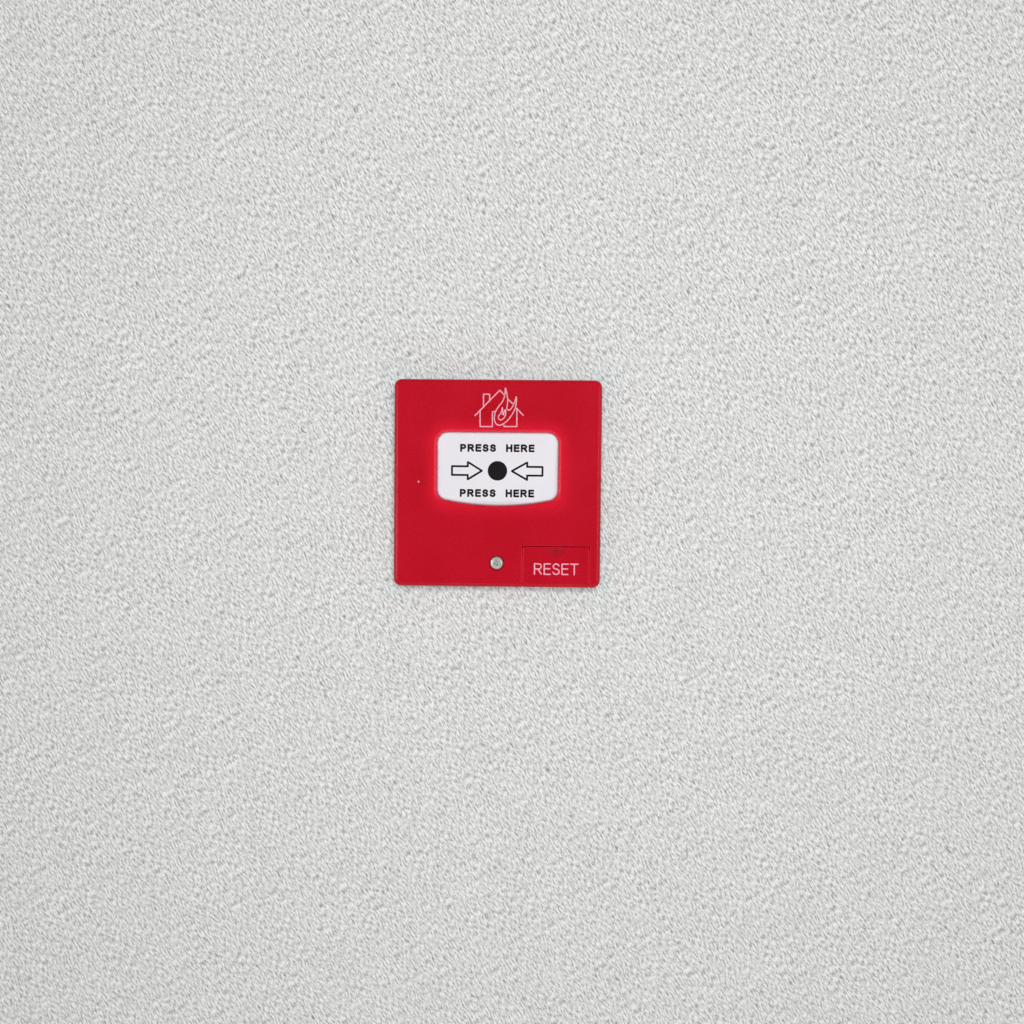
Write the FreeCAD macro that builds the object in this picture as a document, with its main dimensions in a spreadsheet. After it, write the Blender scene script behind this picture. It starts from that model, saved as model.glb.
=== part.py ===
import FreeCAD, Part
import math
import os
import re
import Sketcher

# Resettable fire alarm call point for a flush wall box, modelled piece by piece.
#
# Frame, in millimetres: X to the right, Y into the wall, Z up. The origin is the middle of the line
# between the two wall box screws, on the wall's surface. Depths are written as levels: a level is
# the distance forward of the wall, so level 11 is y = -11 and level -5 is 5 mm inside the wall box.
#
# How it works: pressing the operating plate drives its cam pin along a 45 degree slot in the reset
# slider, so the slider drops, the trip spring pulls it home and the plate's rib closes the switch.
# Behind the reset door a thumb pad pushes the slider up again, which brings the plate forward.

SIZES = {
    # the red front cover
    "cover_width": 86.0,
    "cover_height": 86.0,
    "cover_proud": 11.0,
    "cover_corner_radius": 3.2,
    "cover_edge_radius": 1.8,
    "cover_front_wall": 2.2,
    "cover_side_wall": 2.0,
    "inside_corner_least": 0.5,
    "wall_clearance": 0.2,
    # how far a cut runs past the face that it opens
    "overshoot": 1.0,
    # the window that the operating plate fills
    "window_half_width": 25.2,
    "window_top": 21.25,
    "window_bottom": -9.25,
    "window_corner_radius": 4.6,
    "window_bottom_radius": 104.0,
    "window_rim_radius": 1.2,
    # the white operating plate
    "plate_travel": 3.0,
    "plate_clearance": 0.15,
    "plate_recess": 0.65,
    "plate_edge_radius": 1.1,
    "plate_wall": 1.85,
    "flange_overlap": 1.4,
    "flange_thickness": 1.2,
    "flange_clearance": 0.1,
    # the chassis: a deck on the wall and a tub in the wall box
    "deck_thickness": 2.5,
    "deck_clearance": 0.3,
    "deck_corner_radius": 1.0,
    "rim_width": 1.2,
    "rim_height": 1.3,
    "tub_half_height": 31.0,
    "tub_wall": 2.0,
    "tub_rim": 0.4,
    "waist_half_width": 25.5,
    "waist_half_height": 9.5,
    "well_half_width": 24.0,
    "tub_side_room": 7.5,
    "well_top": 21.5,
    "well_bottom": -5.5,
    "well_depth": 3.4,
    "well_floor_thickness": 1.8,
    "well_wall": 1.5,
    # the wall box screws' slots
    "slot_spacing": 60.3,
    "slot_width": 4.0,
    "slot_length": 7.0,
    # guide posts on the chassis and their sleeves on the plate
    "post_radius": 2.0,
    "post_place": 17.0,
    "post_height": 13.0,
    "running_gap": 0.05,
    "sleeve_wall": 1.35,
    "end_clearance": 0.3,
    "sleeve_room": 2.0,
    # cover screw, its insert and the bosses round them
    "cover_screw_inset": 10.0,
    "screw_head_radius": 2.8,
    "screw_head_height": 1.7,
    "screw_recess_radius": 3.2,
    "screw_recess_depth": 2.0,
    "screw_radius": 1.5,
    "screw_length": 8.0,
    "screw_clearance": 0.25,
    "insert_radius": 2.1,
    "insert_length": 5.0,
    "boss_wall": 2.0,
    "boss_gap": 0.1,
    "cover_boss_length": 2.3,
    "cross_length": 3.1,
    "cross_width": 0.75,
    "cross_depth": 1.0,
    # hooks that hold the cover's top edge
    "hook_place": 22.0,
    "hook_width": 8.0,
    "hook_wall": 1.4,
    "hook_nib": 1.0,
    "hook_gap": 0.3,
    "hook_level": 5.5,
    # the reset door and its pocket
    "door_centre": 24.5,
    "door_width": 28.2,
    "door_top": -25.6,
    "door_side_gap": 0.25,
    "door_top_gap": 0.4,
    "door_thickness": 2.2,
    "door_edge_radius": 0.5,
    "door_travel": 12.0,
    "pocket_depth": 4.0,
    "pocket_floor": 1.5,
    "pocket_wall": 1.5,
    "tongue_thickness": 0.8,
    "tongue_reach": 0.95,
    "tongue_gap": 0.1,
    "tongue_lead": 0.3,
    "tongue_level": 9.6,
    "scoop_radius": 6.3,
    "scoop_depth": 1.0,
    "scoop_tilt": 13.0,
    "scoop_lead": 4.0,
    "stop_width": 2.0,
    "stop_place": 11.0,
    "stop_height": 1.0,
    "stop_reach": 3.0,
    # the reset slider
    "slider_half_width": 5.0,
    "slider_top": -12.0,
    "slider_bottom": -36.0,
    "slider_thickness": 1.6,
    "slider_gap": 0.1,
    "rail_foot": 2.0,
    "arm_left": 16.2,
    "arm_top": -5.0,
    "arm_drop": 9.0,
    "thumb_half_width": 3.5,
    "thumb_top": -27.5,
    "thumb_height": 5.0,
    "thumb_gap": 0.2,
    "thumb_ridge": 0.5,
    "rail_width": 1.3,
    "rail_lip": 0.7,
    "rail_lip_thickness": 0.8,
    # the cam that joins plate and slider
    "cam_level": 2.0,
    "cam_height": 0.4,
    "pin_radius": 1.0,
    "pin_gap": 0.1,
    "ear_wall": 0.9,
    "ear_thickness": 1.6,
    "cam_arm_gap": 0.4,
    "cam_arm_thickness": 1.6,
    "cam_arm_half_height": 2.0,
    # springs
    "trip_wire": 0.35,
    "trip_coil_radius": 1.0,
    "trip_turns": 9.0,
    "link_share": 0.8,
    "trip_level": 4.5,
    "trip_peg_radius": 0.65,
    "trip_peg_top": -13.2,
    "trip_peg_bottom": -23.0,
    "trip_window_half_width": 1.6,
    "detent_height": -27.0,
    "detent_half_length": 6.0,
    "detent_bow": 1.8,
    "detent_thickness": 0.25,
    "detent_width": 2.0,
    "detent_gap": 0.08,
    "detent_grip": 0.4,
    "detent_room": 0.32,
    "notch_half_width": 1.3,
    "notch_depth": 0.5,
    # the microswitch
    "switch_left": -9.0,
    "switch_length": 12.8,
    "switch_width": 5.8,
    "switch_height": 6.5,
    "switch_centre": 5.3,
    "switch_gap": 0.3,
    "lever_arm": 12.0,
    "lever_tail": 1.5,
    "lever_thickness": 0.3,
    "lever_width": 3.6,
    "lever_angle": 14.3239,
    "hinge_inset": 1.0,
    "hinge_rise": 0.9,
    "hinge_pin_radius": 0.4,
    "knuckle_wall": 0.3,
    "touch_gap": 0.1,
    "plunger_radius": 0.8,
    "plunger_nose_radius": 0.76,
    "plunger_arm": 3.2,
    "plunger_gap": 0.06,
    "plunger_length": 4.0,
    "plunger_travel": 0.8,
    "rib_thickness": 1.6,
    "rib_height": 4.0,
    # circuit board and what it carries
    "board_thickness": 1.6,
    "board_clearance": 0.3,
    "board_screw_inset": 3.2,
    "board_screw_radius": 1.0,
    "board_head_radius": 2.0,
    "board_head_height": 1.4,
    "board_cross_length": 2.2,
    "board_cross_width": 0.525,
    "board_screw_length": 5.0,
    "board_boss_radius": 2.8,
    "board_hole_gap": 0.25,
    "leg_radius": 0.3,
    "leg_gap": 0.15,
    "leg_proud": 0.6,
    "pin_pitch": 5.08,
    "switch_pin_proud": 1.4,
    "switch_corner_radius": 0.4,
    # terminal block
    "terminal_count": 4.0,
    "terminal_centre": -17.0,
    "terminal_height": 9.0,
    "terminal_depth": 10.0,
    "terminal_end_wall": 0.5,
    "terminal_floor": 1.4,
    "entry_half_width": 1.7,
    "entry_depth": 7.5,
    "entry_opening": 4.4,
    "terminal_well_radius": 1.9,
    "terminal_head_radius": 1.6,
    "terminal_head_height": 1.3,
    "terminal_head_sink": 1.4,
    "clamp_gap": 0.1,
    "clamp_bite": 1.5,
    "clamp_wall": 0.5,
    "clamp_top": 0.2,
    "thread_lead": 0.1,
    "clamp_wire_room": 2.2,
    "terminal_screw_radius": 1.05,
    "terminal_leg_radius": 0.5,
    "driver_slot": 0.6,
    # capacitor, resistors and diode
    "capacitor_radius": 3.15,
    "capacitor_height": 9.0,
    "capacitor_x": 17.5,
    "capacitor_z": -14.0,
    "capacitor_neck": 0.35,
    "capacitor_groove_back": 1.75,
    "capacitor_groove_front": 1.05,
    "resistor_radius": 1.2,
    "resistor_length": 6.3,
    "resistor_x": -20.5,
    "resistor_z": -14.0,
    "resistor_pitch": 4.5,
    "diode_radius": 1.35,
    "diode_length": 5.0,
    "diode_x": 21.0,
    "diode_z": -22.5,
    "bend_radius": 0.9,
    "bend_share": 1.6,
    "axial_bevel_share": 0.3,
    # alarm light
    "light_x": -32.7,
    "light_z": 0.7,
    "light_radius": 0.5,
    "light_hole_gap": 0.08,
    "light_sink": 0.1,
    "lamp_inset": 2.0,
    "lamp_rise": 3.0,
    "lamp_width": 3.2,
    "lamp_depth": 2.8,
    "lamp_height": 1.9,
    "lamp_gap": 0.2,
    "pipe_radius": 1.2,
    "pipe_arm_thickness": 1.5,
    "pipe_hole_gap": 0.5,
    "pipe_overlap": 0.2,
    "lamp_cup_radius": 1.08,
}

# Places that follow from the sizes. Each is a formula of sizes and of other places.
PLACES = {
    "cover_inner": "cover_proud - cover_front_wall",
    "tub_half_width": "well_half_width + well_wall + tub_side_room",
    "inside_half_width": "cover_width / 2 - cover_side_wall",
    "inside_half_height": "cover_height / 2 - cover_side_wall",
    "inside_corner_radius": "max(cover_corner_radius - cover_side_wall; inside_corner_least)",
    "deck_half_width": "inside_half_width - deck_clearance",
    "deck_half_height": "inside_half_height - deck_clearance",
    "plate_front": "cover_proud - plate_recess",
    "plate_inner": "plate_front - plate_wall",
    "flange_front": "cover_inner - flange_clearance",
    "flange_back": "flange_front - flange_thickness",
    "well_floor": "-well_depth",
    "board_front": "well_floor - well_floor_thickness",
    "board_back": "board_front - board_thickness",
    "tub_back": "board_back - tub_rim",
    "post_top": "plate_inner - plate_travel - end_clearance",
    "sleeve_back": "well_floor + plate_travel + sleeve_room",
    "cover_screw_drop": "cover_height / 2 - cover_screw_inset",
    "head_seat": "cover_proud - screw_recess_depth",
    "boss_back": "cover_inner - cover_boss_length",
    "insert_front": "boss_back - boss_gap",
    "post_radius_outer": "insert_radius + boss_wall",
    "pocket_back": "cover_proud - pocket_depth",
    "pocket_pad": "pocket_back - pocket_floor",
    "pocket_left": "door_centre - door_width / 2",
    "pocket_right": "door_centre + door_width / 2",
    "door_back": "cover_proud - door_thickness",
    "door_low": "-cover_height / 2",
    "tongue_back": "tongue_level - tongue_thickness / 2",
    "tongue_front": "tongue_level + tongue_thickness / 2",
    "stop_left": "door_centre - stop_place - stop_width / 2",
    "stop_right": "door_centre - stop_place + stop_width / 2",
    "stop_top": "door_top - stop_height",
    "stop_low": "stop_top - stop_height",
    "slider_back": "deck_thickness + slider_gap",
    "slider_front": "slider_back + slider_thickness",
    "slider_left": "door_centre - slider_half_width",
    "slider_right": "door_centre + slider_half_width",
    "thumb_low": "thumb_top - thumb_height",
    "lip_back": "slider_front + slider_gap",
    "lip_front": "lip_back + rail_lip_thickness",
    "ear_right": "arm_left + ear_thickness",
    "cam_arm_left": "ear_right + cam_arm_gap",
    "cam_arm_right": "cam_arm_left + cam_arm_thickness",
    "detent_crest": "slider_left - detent_gap",
    "detent_radius": "(detent_half_length ^ 2 + detent_bow ^ 2) / (2 * detent_bow)",
    "detent_back": "deck_thickness + slider_gap",
    "switch_front": "board_front + switch_height",
    "switch_low": "switch_centre - switch_width / 2",
    "switch_high": "switch_centre + switch_width / 2",
    "hinge_x": "switch_left + hinge_inset",
    "hinge_level": "switch_front + hinge_rise",
    "contact_x": "hinge_x + lever_arm",
    "rib_nose": "hinge_level + lever_arm * tan(lever_angle)"
                " + (lever_thickness / 2 + rib_thickness / 2 + touch_gap) / cos(lever_angle)",
    "plunger_top": "hinge_level + plunger_arm * tan(lever_angle)"
                   " - lever_thickness / 2 / cos(lever_angle) - touch_gap",
    "plunger_x": "hinge_x + plunger_arm",
    "knuckle_radius": "hinge_pin_radius + running_gap + knuckle_wall",
    "terminal_half_width": "terminal_count * pin_pitch / 2 + terminal_end_wall",
    "terminal_back": "board_back - terminal_depth",
    "terminal_low": "terminal_centre - terminal_height / 2",
    "terminal_high": "terminal_centre + terminal_height / 2",
    "entry_front": "board_back - terminal_floor",
    "entry_back": "entry_front - entry_opening",
    "clamp_front": "entry_front - clamp_gap",
    "clamp_back": "entry_back + clamp_gap",
    "terminal_head_back": "terminal_back + terminal_head_sink",
    "terminal_head_front": "terminal_head_back + terminal_head_height",
    "leg_end": "board_front + leg_proud",
    "pipe_front": "cover_inner - flange_clearance",
    "pipe_back": "pipe_front - pipe_arm_thickness",
    "lamp_x": "lamp_inset + tub_wall - tub_half_width",
    "lamp_z": "waist_half_height + tub_wall + lamp_rise",
    "lamp_front": "board_front + lamp_height",
    "board_screw_x": "tub_half_width - tub_wall - board_screw_inset",
    "board_screw_z": "tub_half_height - tub_wall - board_screw_inset",
}

doc = FreeCAD.newDocument("call_point")
sheet = doc.addObject("Spreadsheet::Sheet", "Sizes")
for row, (name, size) in enumerate(SIZES.items(), 1):
    sheet.set(f"A{row}", name)
    sheet.set(f"B{row}", str(size))
    sheet.setAlias(f"B{row}", name)
doc.recompute()


def formula(text):
    """A formula in plain names, written out for the document's objects to read from the sheet."""

    def written_out(match):
        word = match.group(0)
        if word in PLACES:
            return f"({formula(PLACES[word])})"
        return f"Sizes.{word}" if word in SIZES else word

    return re.sub(r"[a-z][a-z_]*", written_out, text)


def value(text):
    """What a formula comes to now."""
    return float(sheet.evalExpression(formula(text)))


def bind(thing, path, text):
    thing.setExpression(path, formula(text))


# Outlines. Each function draws one closed outline in a sketch and ties it to the sheet.

def hold(sketch, kind, *where, to):
    """One dimension of a sketch, tied to a formula."""
    number = sketch.addConstraint(Sketcher.Constraint(kind, *where, value(to)))
    bind(sketch, f"Constraints[{number}]", to)


def join_smoothly(sketch, pieces):
    """Joins the end of each piece to the start of the next one, tangent to it."""
    for this, following in zip(pieces, pieces[1:] + pieces[:1]):
        sketch.addConstraint(Sketcher.Constraint("Tangent", this, 2, following, 1))


def line(sketch, start, end):
    return sketch.addGeometry(Part.LineSegment(FreeCAD.Vector(*start), FreeCAD.Vector(*end)))


def arc(sketch, centre, radius, start, end):
    """An arc that runs anticlockwise between two angles in degrees."""
    circle_line = Part.Circle(FreeCAD.Vector(*centre), FreeCAD.Vector(0, 0, 1), radius)
    return sketch.addGeometry(Part.ArcOfCircle(circle_line, math.radians(start), math.radians(end)))


def circle(x, y, radius):
    def draw(sketch):
        centre = FreeCAD.Vector(value(x), value(y))
        ring = sketch.addGeometry(Part.Circle(centre, FreeCAD.Vector(0, 0, 1), value(radius)))
        hold(sketch, "Radius", ring, to=radius)
        hold(sketch, "DistanceX", -1, 1, ring, 3, to=x)
        hold(sketch, "DistanceY", -1, 1, ring, 3, to=y)

    return draw


def polygon(*corners):
    """A straight-sided outline through corners that are pairs of formulas."""

    def draw(sketch):
        points = [(value(x), value(y), 0) for x, y in corners]
        sides = [line(sketch, a, b) for a, b in zip(points, points[1:] + points[:1])]
        for this, following in zip(sides, sides[1:] + sides[:1]):
            sketch.addConstraint(Sketcher.Constraint("Coincident", this, 2, following, 1))
        for side, (x, y) in zip(sides, corners):
            hold(sketch, "DistanceX", -1, 1, side, 1, to=x)
            hold(sketch, "DistanceY", -1, 1, side, 1, to=y)

    return draw


def rectangle(left, right, low, high):
    return polygon((left, low), (right, low), (right, high), (left, high))


def wire_section(x, y, radius):
    """Fine wire, drawn with eight sides."""
    return polygon(*[(f"{x} + {radius} * cos({angle})", f"{y} + {radius} * sin({angle})")
                     for angle in range(0, 360, 45)])


def rounded_rectangle(half_width, half_height, radius):
    """A rectangle round the origin with round corners."""

    def draw(sketch):
        w, h, r = value(half_width), value(half_height), value(radius)
        bottom = line(sketch, (r - w, -h, 0), (w - r, -h, 0))
        corner_a = arc(sketch, (w - r, r - h, 0), r, 270, 360)
        right = line(sketch, (w, r - h, 0), (w, h - r, 0))
        corner_b = arc(sketch, (w - r, h - r, 0), r, 0, 90)
        top = line(sketch, (w - r, h, 0), (r - w, h, 0))
        corner_c = arc(sketch, (r - w, h - r, 0), r, 90, 180)
        left = line(sketch, (-w, h - r, 0), (-w, r - h, 0))
        corner_d = arc(sketch, (r - w, r - h, 0), r, 180, 270)
        join_smoothly(sketch, [bottom, corner_a, right, corner_b, top, corner_c, left, corner_d])
        for level_line in (bottom, top):
            sketch.addConstraint(Sketcher.Constraint("Horizontal", level_line))
        for upright in (left, right):
            sketch.addConstraint(Sketcher.Constraint("Vertical", upright))
        for corner in (corner_b, corner_c, corner_d):
            sketch.addConstraint(Sketcher.Constraint("Equal", corner_a, corner))
        hold(sketch, "Radius", corner_a, to=radius)
        hold(sketch, "DistanceX", -1, 1, right, 1, to=half_width)
        hold(sketch, "DistanceX", -1, 1, left, 1, to=f"-({half_width})")
        hold(sketch, "DistanceY", -1, 1, top, 1, to=half_height)
        hold(sketch, "DistanceY", -1, 1, bottom, 1, to=f"-({half_height})")

    return draw


def window_outline(growth):
    """The window's outline, grown outward all round: straight top and sides, and a long arc below."""

    def draw(sketch):
        w, top_height = value(f"window_half_width + {growth}"), value(f"window_top + {growth}")
        low = value(f"window_bottom - ({growth})")
        r = value(f"window_corner_radius + {growth}")
        big = value(f"window_bottom_radius + {growth}")
        big_centre = low + big
        corner_z = big_centre - math.sqrt((big - r) ** 2 - (w - r) ** 2)
        lean = math.degrees(math.atan2(big_centre - corner_z, w - r))
        below = arc(sketch, (0, big_centre, 0), big, 180 + lean, 360 - lean)
        corner_a = arc(sketch, (w - r, corner_z, 0), r, 360 - lean, 360)
        right = line(sketch, (w, corner_z, 0), (w, top_height - r, 0))
        corner_b = arc(sketch, (w - r, top_height - r, 0), r, 0, 90)
        top = line(sketch, (w - r, top_height, 0), (r - w, top_height, 0))
        corner_c = arc(sketch, (r - w, top_height - r, 0), r, 90, 180)
        left = line(sketch, (-w, top_height - r, 0), (-w, corner_z, 0))
        corner_d = arc(sketch, (r - w, corner_z, 0), r, 180, 180 + lean)
        join_smoothly(sketch, [below, corner_a, right, corner_b, top, corner_c, left, corner_d])
        sketch.addConstraint(Sketcher.Constraint("Horizontal", top))
        for upright in (left, right):
            sketch.addConstraint(Sketcher.Constraint("Vertical", upright))
        for corner in (corner_b, corner_c, corner_d):
            sketch.addConstraint(Sketcher.Constraint("Equal", corner_a, corner))
        hold(sketch, "Radius", corner_a, to=f"window_corner_radius + {growth}")
        hold(sketch, "Radius", below, to=f"window_bottom_radius + {growth}")
        hold(sketch, "DistanceX", -1, 1, below, 3, to="0")
        hold(sketch, "DistanceY", -1, 1, below, 3, to="window_bottom + window_bottom_radius")
        hold(sketch, "DistanceX", -1, 1, right, 1, to=f"window_half_width + {growth}")
        hold(sketch, "DistanceX", -1, 1, left, 1, to=f"-(window_half_width + {growth})")
        hold(sketch, "DistanceY", -1, 1, top, 1, to=f"window_top + {growth}")

    return draw


def stadium(start, end, radius):
    """A slot's outline: two half circles about two points, and their tangent sides."""

    def draw(sketch):
        a = FreeCAD.Vector(*(value(text) for text in start))
        b = FreeCAD.Vector(*(value(text) for text in end))
        r = value(radius)
        heading = math.degrees(math.atan2(b.y - a.y, b.x - a.x))
        side = FreeCAD.Vector(-(b - a).y, (b - a).x, 0).normalize() * r
        first = arc(sketch, a, r, heading + 90, heading + 270)
        lower = line(sketch, a - side, b - side)
        second = arc(sketch, b, r, heading - 90, heading + 90)
        upper = line(sketch, b + side, a + side)
        join_smoothly(sketch, [first, lower, second, upper])
        sketch.addConstraint(Sketcher.Constraint("Equal", first, second))
        hold(sketch, "Radius", first, to=radius)
        for cap, (x, y) in ((first, start), (second, end)):
            hold(sketch, "DistanceX", -1, 1, cap, 3, to=x)
            hold(sketch, "DistanceY", -1, 1, cap, 3, to=y)

    return draw


# Features. Levels run forward from the wall, so a body's XZ plane faces the way the levels count.

def new_body(label):
    body = doc.addObject("PartDesign::Body", label)
    body.Label = label
    return body


def draw_on(body, name, plane, offset, outlines):
    """A sketch on one of the body's own planes, moved along that plane's normal."""
    sketch = body.newObject("Sketcher::SketchObject", f"{body.Label}_{name}_outline")
    support = next(f for f in body.Origin.OriginFeatures if f.Role == plane)
    sketch.AttachmentSupport = [(support, "")]
    sketch.MapMode = "FlatFace"
    bind(sketch, "AttachmentOffset.Base.z", offset)
    for outline in outlines:
        outline(sketch)
    return sketch


def prism(body, name, low, high, *outlines, plane="XZ_Plane"):
    """Adds material between two levels of the plane's normal."""
    pad = body.newObject("PartDesign::Pad", f"{body.Label}_{name}")
    pad.Profile = draw_on(body, name, plane, low, outlines)
    bind(pad, "Length", f"({high}) - ({low})")
    return pad


def cut(body, name, low, high, *outlines, plane="XZ_Plane"):
    """Takes material away between two levels. The sketch is on the high one and cuts back from it."""
    before = volume_of(body)
    pocket = body.newObject("PartDesign::Pocket", f"{body.Label}_{name}")
    pocket.Profile = draw_on(body, name, plane, high, outlines)
    bind(pocket, "Length", f"({high}) - ({low})")
    if volume_of(body) >= before:
        raise ValueError(f"{body.Label}: {name} takes nothing away")
    return pocket


def volume_of(body):
    doc.recompute()
    return body.Shape.Volume


def edges_where(body, test):
    """Names of the edges whose every sampled point passes a test."""
    doc.recompute()
    numbered = enumerate(body.Tip.Shape.Edges, 1)
    return [f"Edge{n}" for n, edge in numbered if all(test(p) for p in edge.discretize(Number=5))]


def soften(body, name, radius, test):
    """Rounds the edges that pass a test."""
    bind(dress(body, "Fillet", name, test), "Radius", radius)


def bevel(body, name, size, test):
    """Bevels the edges that pass a test."""
    bind(dress(body, "Chamfer", name, test), "Size", size)


def dress(body, kind, name, test):
    names = edges_where(body, test)
    if not names:
        raise ValueError(f"{body.Label}: {name} finds no edge")
    tip = body.Tip
    feature = body.newObject(f"PartDesign::{kind}", f"{body.Label}_{name}")
    feature.Base = (tip, names)
    return feature


SAME_PLACE = 1e-4
SEARCH_MARGIN = 0.1


def near(a, b):
    return abs(a - b) < SAME_PLACE


def at_level(point, level):
    return near(-point.y, value(level))


SUB_PARTS = []


def finish(body):
    SUB_PARTS.append(body)
    return body


# The red front cover: a moulded shell with the window, the door's pocket and the screw's recess.

def make_front_cover():
    body = new_body("front_cover")
    half_width, half_height = "cover_width / 2", "cover_height / 2"
    outline = rounded_rectangle(half_width, half_height, "cover_corner_radius")
    prism(body, "block", "wall_clearance", "cover_proud", outline)
    soften(body, "front_edge", "cover_edge_radius", lambda p: at_level(p, "cover_proud"))
    inside = rounded_rectangle("inside_half_width", "inside_half_height", "inside_corner_radius")
    cut(body, "inside", "0", "cover_inner", inside)
    # a thicker pad inside, for the door's pocket, which runs into the side and bottom walls
    pad_right = "inside_half_width + cover_side_wall / 2"
    pad_low = "-inside_half_height - cover_side_wall / 2"
    pad = rectangle("pocket_left - pocket_wall", pad_right, pad_low, "door_top + pocket_wall")
    prism(body, "pocket_pad", "pocket_pad", "cover_inner + cover_front_wall / 2", pad)
    prism(body, "screw_boss", "boss_back", "cover_inner + cover_front_wall / 4",
          circle("0", "-cover_screw_drop", "screw_recess_radius + boss_wall / 2"))
    below = "door_low - overshoot"
    pocket = rectangle("pocket_left", "pocket_right", below, "door_top")
    cut(body, "pocket", "pocket_back", "cover_proud + overshoot", pocket)
    groove_reach = "tongue_reach - door_side_gap + tongue_gap"
    cut(body, "door_grooves", "tongue_back - tongue_gap", "tongue_front + tongue_gap",
        rectangle(f"pocket_left - ({groove_reach})", f"pocket_right + {groove_reach}",
                  below, "stop_top + tongue_gap"))
    slots = [
        rectangle("door_centre - thumb_half_width - thumb_gap", "door_centre + thumb_half_width + thumb_gap",
                  "thumb_low - plate_travel - end_clearance", "thumb_top + end_clearance"),
        rectangle("stop_left - thumb_gap", "stop_right + thumb_gap",
                  "stop_low - door_travel - thumb_gap", "stop_top + thumb_gap"),
    ]
    cut(body, "floor_slots", "pocket_pad - overshoot", "pocket_back + tongue_gap", *slots)
    screw_place = ("0", "-cover_screw_drop")
    cut(body, "screw_recess", "head_seat", "cover_proud + overshoot",
        circle(*screw_place, "screw_recess_radius"))
    cut(body, "screw_hole", "boss_back - overshoot", "head_seat + overshoot",
        circle(*screw_place, "screw_radius + screw_clearance"))
    cut(body, "window", "cover_inner - overshoot", "cover_proud + overshoot", window_outline("0"))

    def in_window(p):
        inside = abs(p.x) < value("window_half_width") + SEARCH_MARGIN
        return at_level(p, "cover_proud") and inside and abs(p.z) < value("window_top") + SEARCH_MARGIN

    soften(body, "window_rim", "window_rim_radius", in_window)
    ledges = [rectangle(f"{side} * hook_place - hook_width / 2 - hook_nib",
                        f"{side} * hook_place + hook_width / 2 + hook_nib",
                        "inside_half_height - hook_nib - hook_gap",
                        "inside_half_height + cover_side_wall / 2")
              for side in (-1, 1)]
    prism(body, "hook_ledges", "hook_level - hook_gap - hook_nib", "hook_level - hook_gap", *ledges)
    cut(body, "light_hole", "cover_inner - overshoot", "cover_proud + overshoot",
        circle("light_x", "light_z", "light_radius + light_hole_gap"))
    return finish(body)


# The reset door: it slides down out of the cover on two tongues, and a nib behind it stops it.

def make_reset_door():
    body = new_body("reset_door")
    left, right = "pocket_left + door_side_gap", "pocket_right - door_side_gap"
    top = "door_top - door_top_gap"
    prism(body, "plate", "door_back", "cover_proud", rectangle(left, right, "door_low", top))
    soften(body, "bottom_edge", "cover_edge_radius",
           lambda p: at_level(p, "cover_proud") and near(p.z, value("door_low")))
    soften(body, "front_edges", "door_edge_radius",
           lambda p: at_level(p, "cover_proud")
           and p.z > value("door_low + cover_edge_radius") - SEARCH_MARGIN
           and (near(p.z, value(top)) or near(p.x, value(left)) or near(p.x, value(right))))
    tongue_low, tongue_high = "door_low + cover_edge_radius - tongue_lead", "stop_top - stop_height"
    prism(body, "tongues", "tongue_back", "tongue_front",
          rectangle(f"{left} - tongue_reach + door_side_gap", f"{right} + tongue_reach - door_side_gap",
                    tongue_low, tongue_high))
    prism(body, "stop", "door_back - stop_reach", "door_back + door_thickness / 2",
          rectangle("stop_left", "stop_right", "stop_low", "stop_top"))
    scoop = body.newObject("PartDesign::SubtractiveCylinder", "reset_door_scoop")
    bind(scoop, "Radius", "scoop_radius")
    bind(scoop, "Height", "door_width")
    bind(scoop, "Placement.Base.x", "door_centre")
    # the cutting cylinder starts above the door, so that the scoop is open at the door's top edge
    axis_level = "cover_proud + scoop_radius / cos(scoop_tilt) - scoop_depth"
    bind(scoop, "Placement.Base.y", f"scoop_lead * sin(scoop_tilt) - ({axis_level})")
    bind(scoop, "Placement.Base.z", f"{top} + scoop_lead * cos(scoop_tilt)")
    scoop.Placement.Rotation = FreeCAD.Rotation(FreeCAD.Vector(1, 0, 0), 180 - value("scoop_tilt"))
    return finish(body)


# The white operating plate: a pillowed cap and flange, two sleeves, the switch rib and the cam pin.

def make_operating_plate():
    body = new_body("operating_plate")
    prism(body, "cap", "flange_back", "plate_front", window_outline("(-plate_clearance)"))
    soften(body, "cap_edge", "plate_edge_radius", lambda p: at_level(p, "plate_front"))
    prism(body, "flange", "flange_back", "flange_front", window_outline("flange_overlap"))
    cut(body, "hollow", "flange_back - overshoot", "plate_inner",
        window_outline("(-plate_clearance - plate_wall)"))
    fused = "plate_inner + plate_wall / 4"
    sleeves = [circle(f"{side} * post_place", "post_height", "post_radius + running_gap + sleeve_wall")
               for side in (-1, 1)]
    prism(body, "sleeves", "sleeve_back", fused, *sleeves)
    bores = [circle(f"{side} * post_place", "post_height", "post_radius + running_gap") for side in (-1, 1)]
    cut(body, "sleeve_bores", "sleeve_back - overshoot", "plate_inner", *bores)
    prism(body, "switch_rib", "switch_centre - rib_height / 2", "switch_centre + rib_height / 2",
          stadium(("contact_x", "-rib_nose"), ("contact_x", "-plate_inner"), "rib_thickness / 2"),
          plane="XY_Plane")
    cam_low, cam_high = "cam_height - cam_arm_half_height", "cam_height + cam_arm_half_height"
    prism(body, "cam_arm", "cam_level - pin_radius - pin_gap", fused,
          rectangle("cam_arm_left", "cam_arm_right", cam_low, cam_high))
    prism(body, "cam_pin", "arm_left - pin_gap", "cam_arm_left + cam_arm_thickness / 2",
          circle("-cam_level", "cam_height", "pin_radius"), plane="YZ_Plane")
    return finish(body)


# The reset slider: flat body under the rails, thumb pad, and an ear with the 45 degree cam slot.

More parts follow.
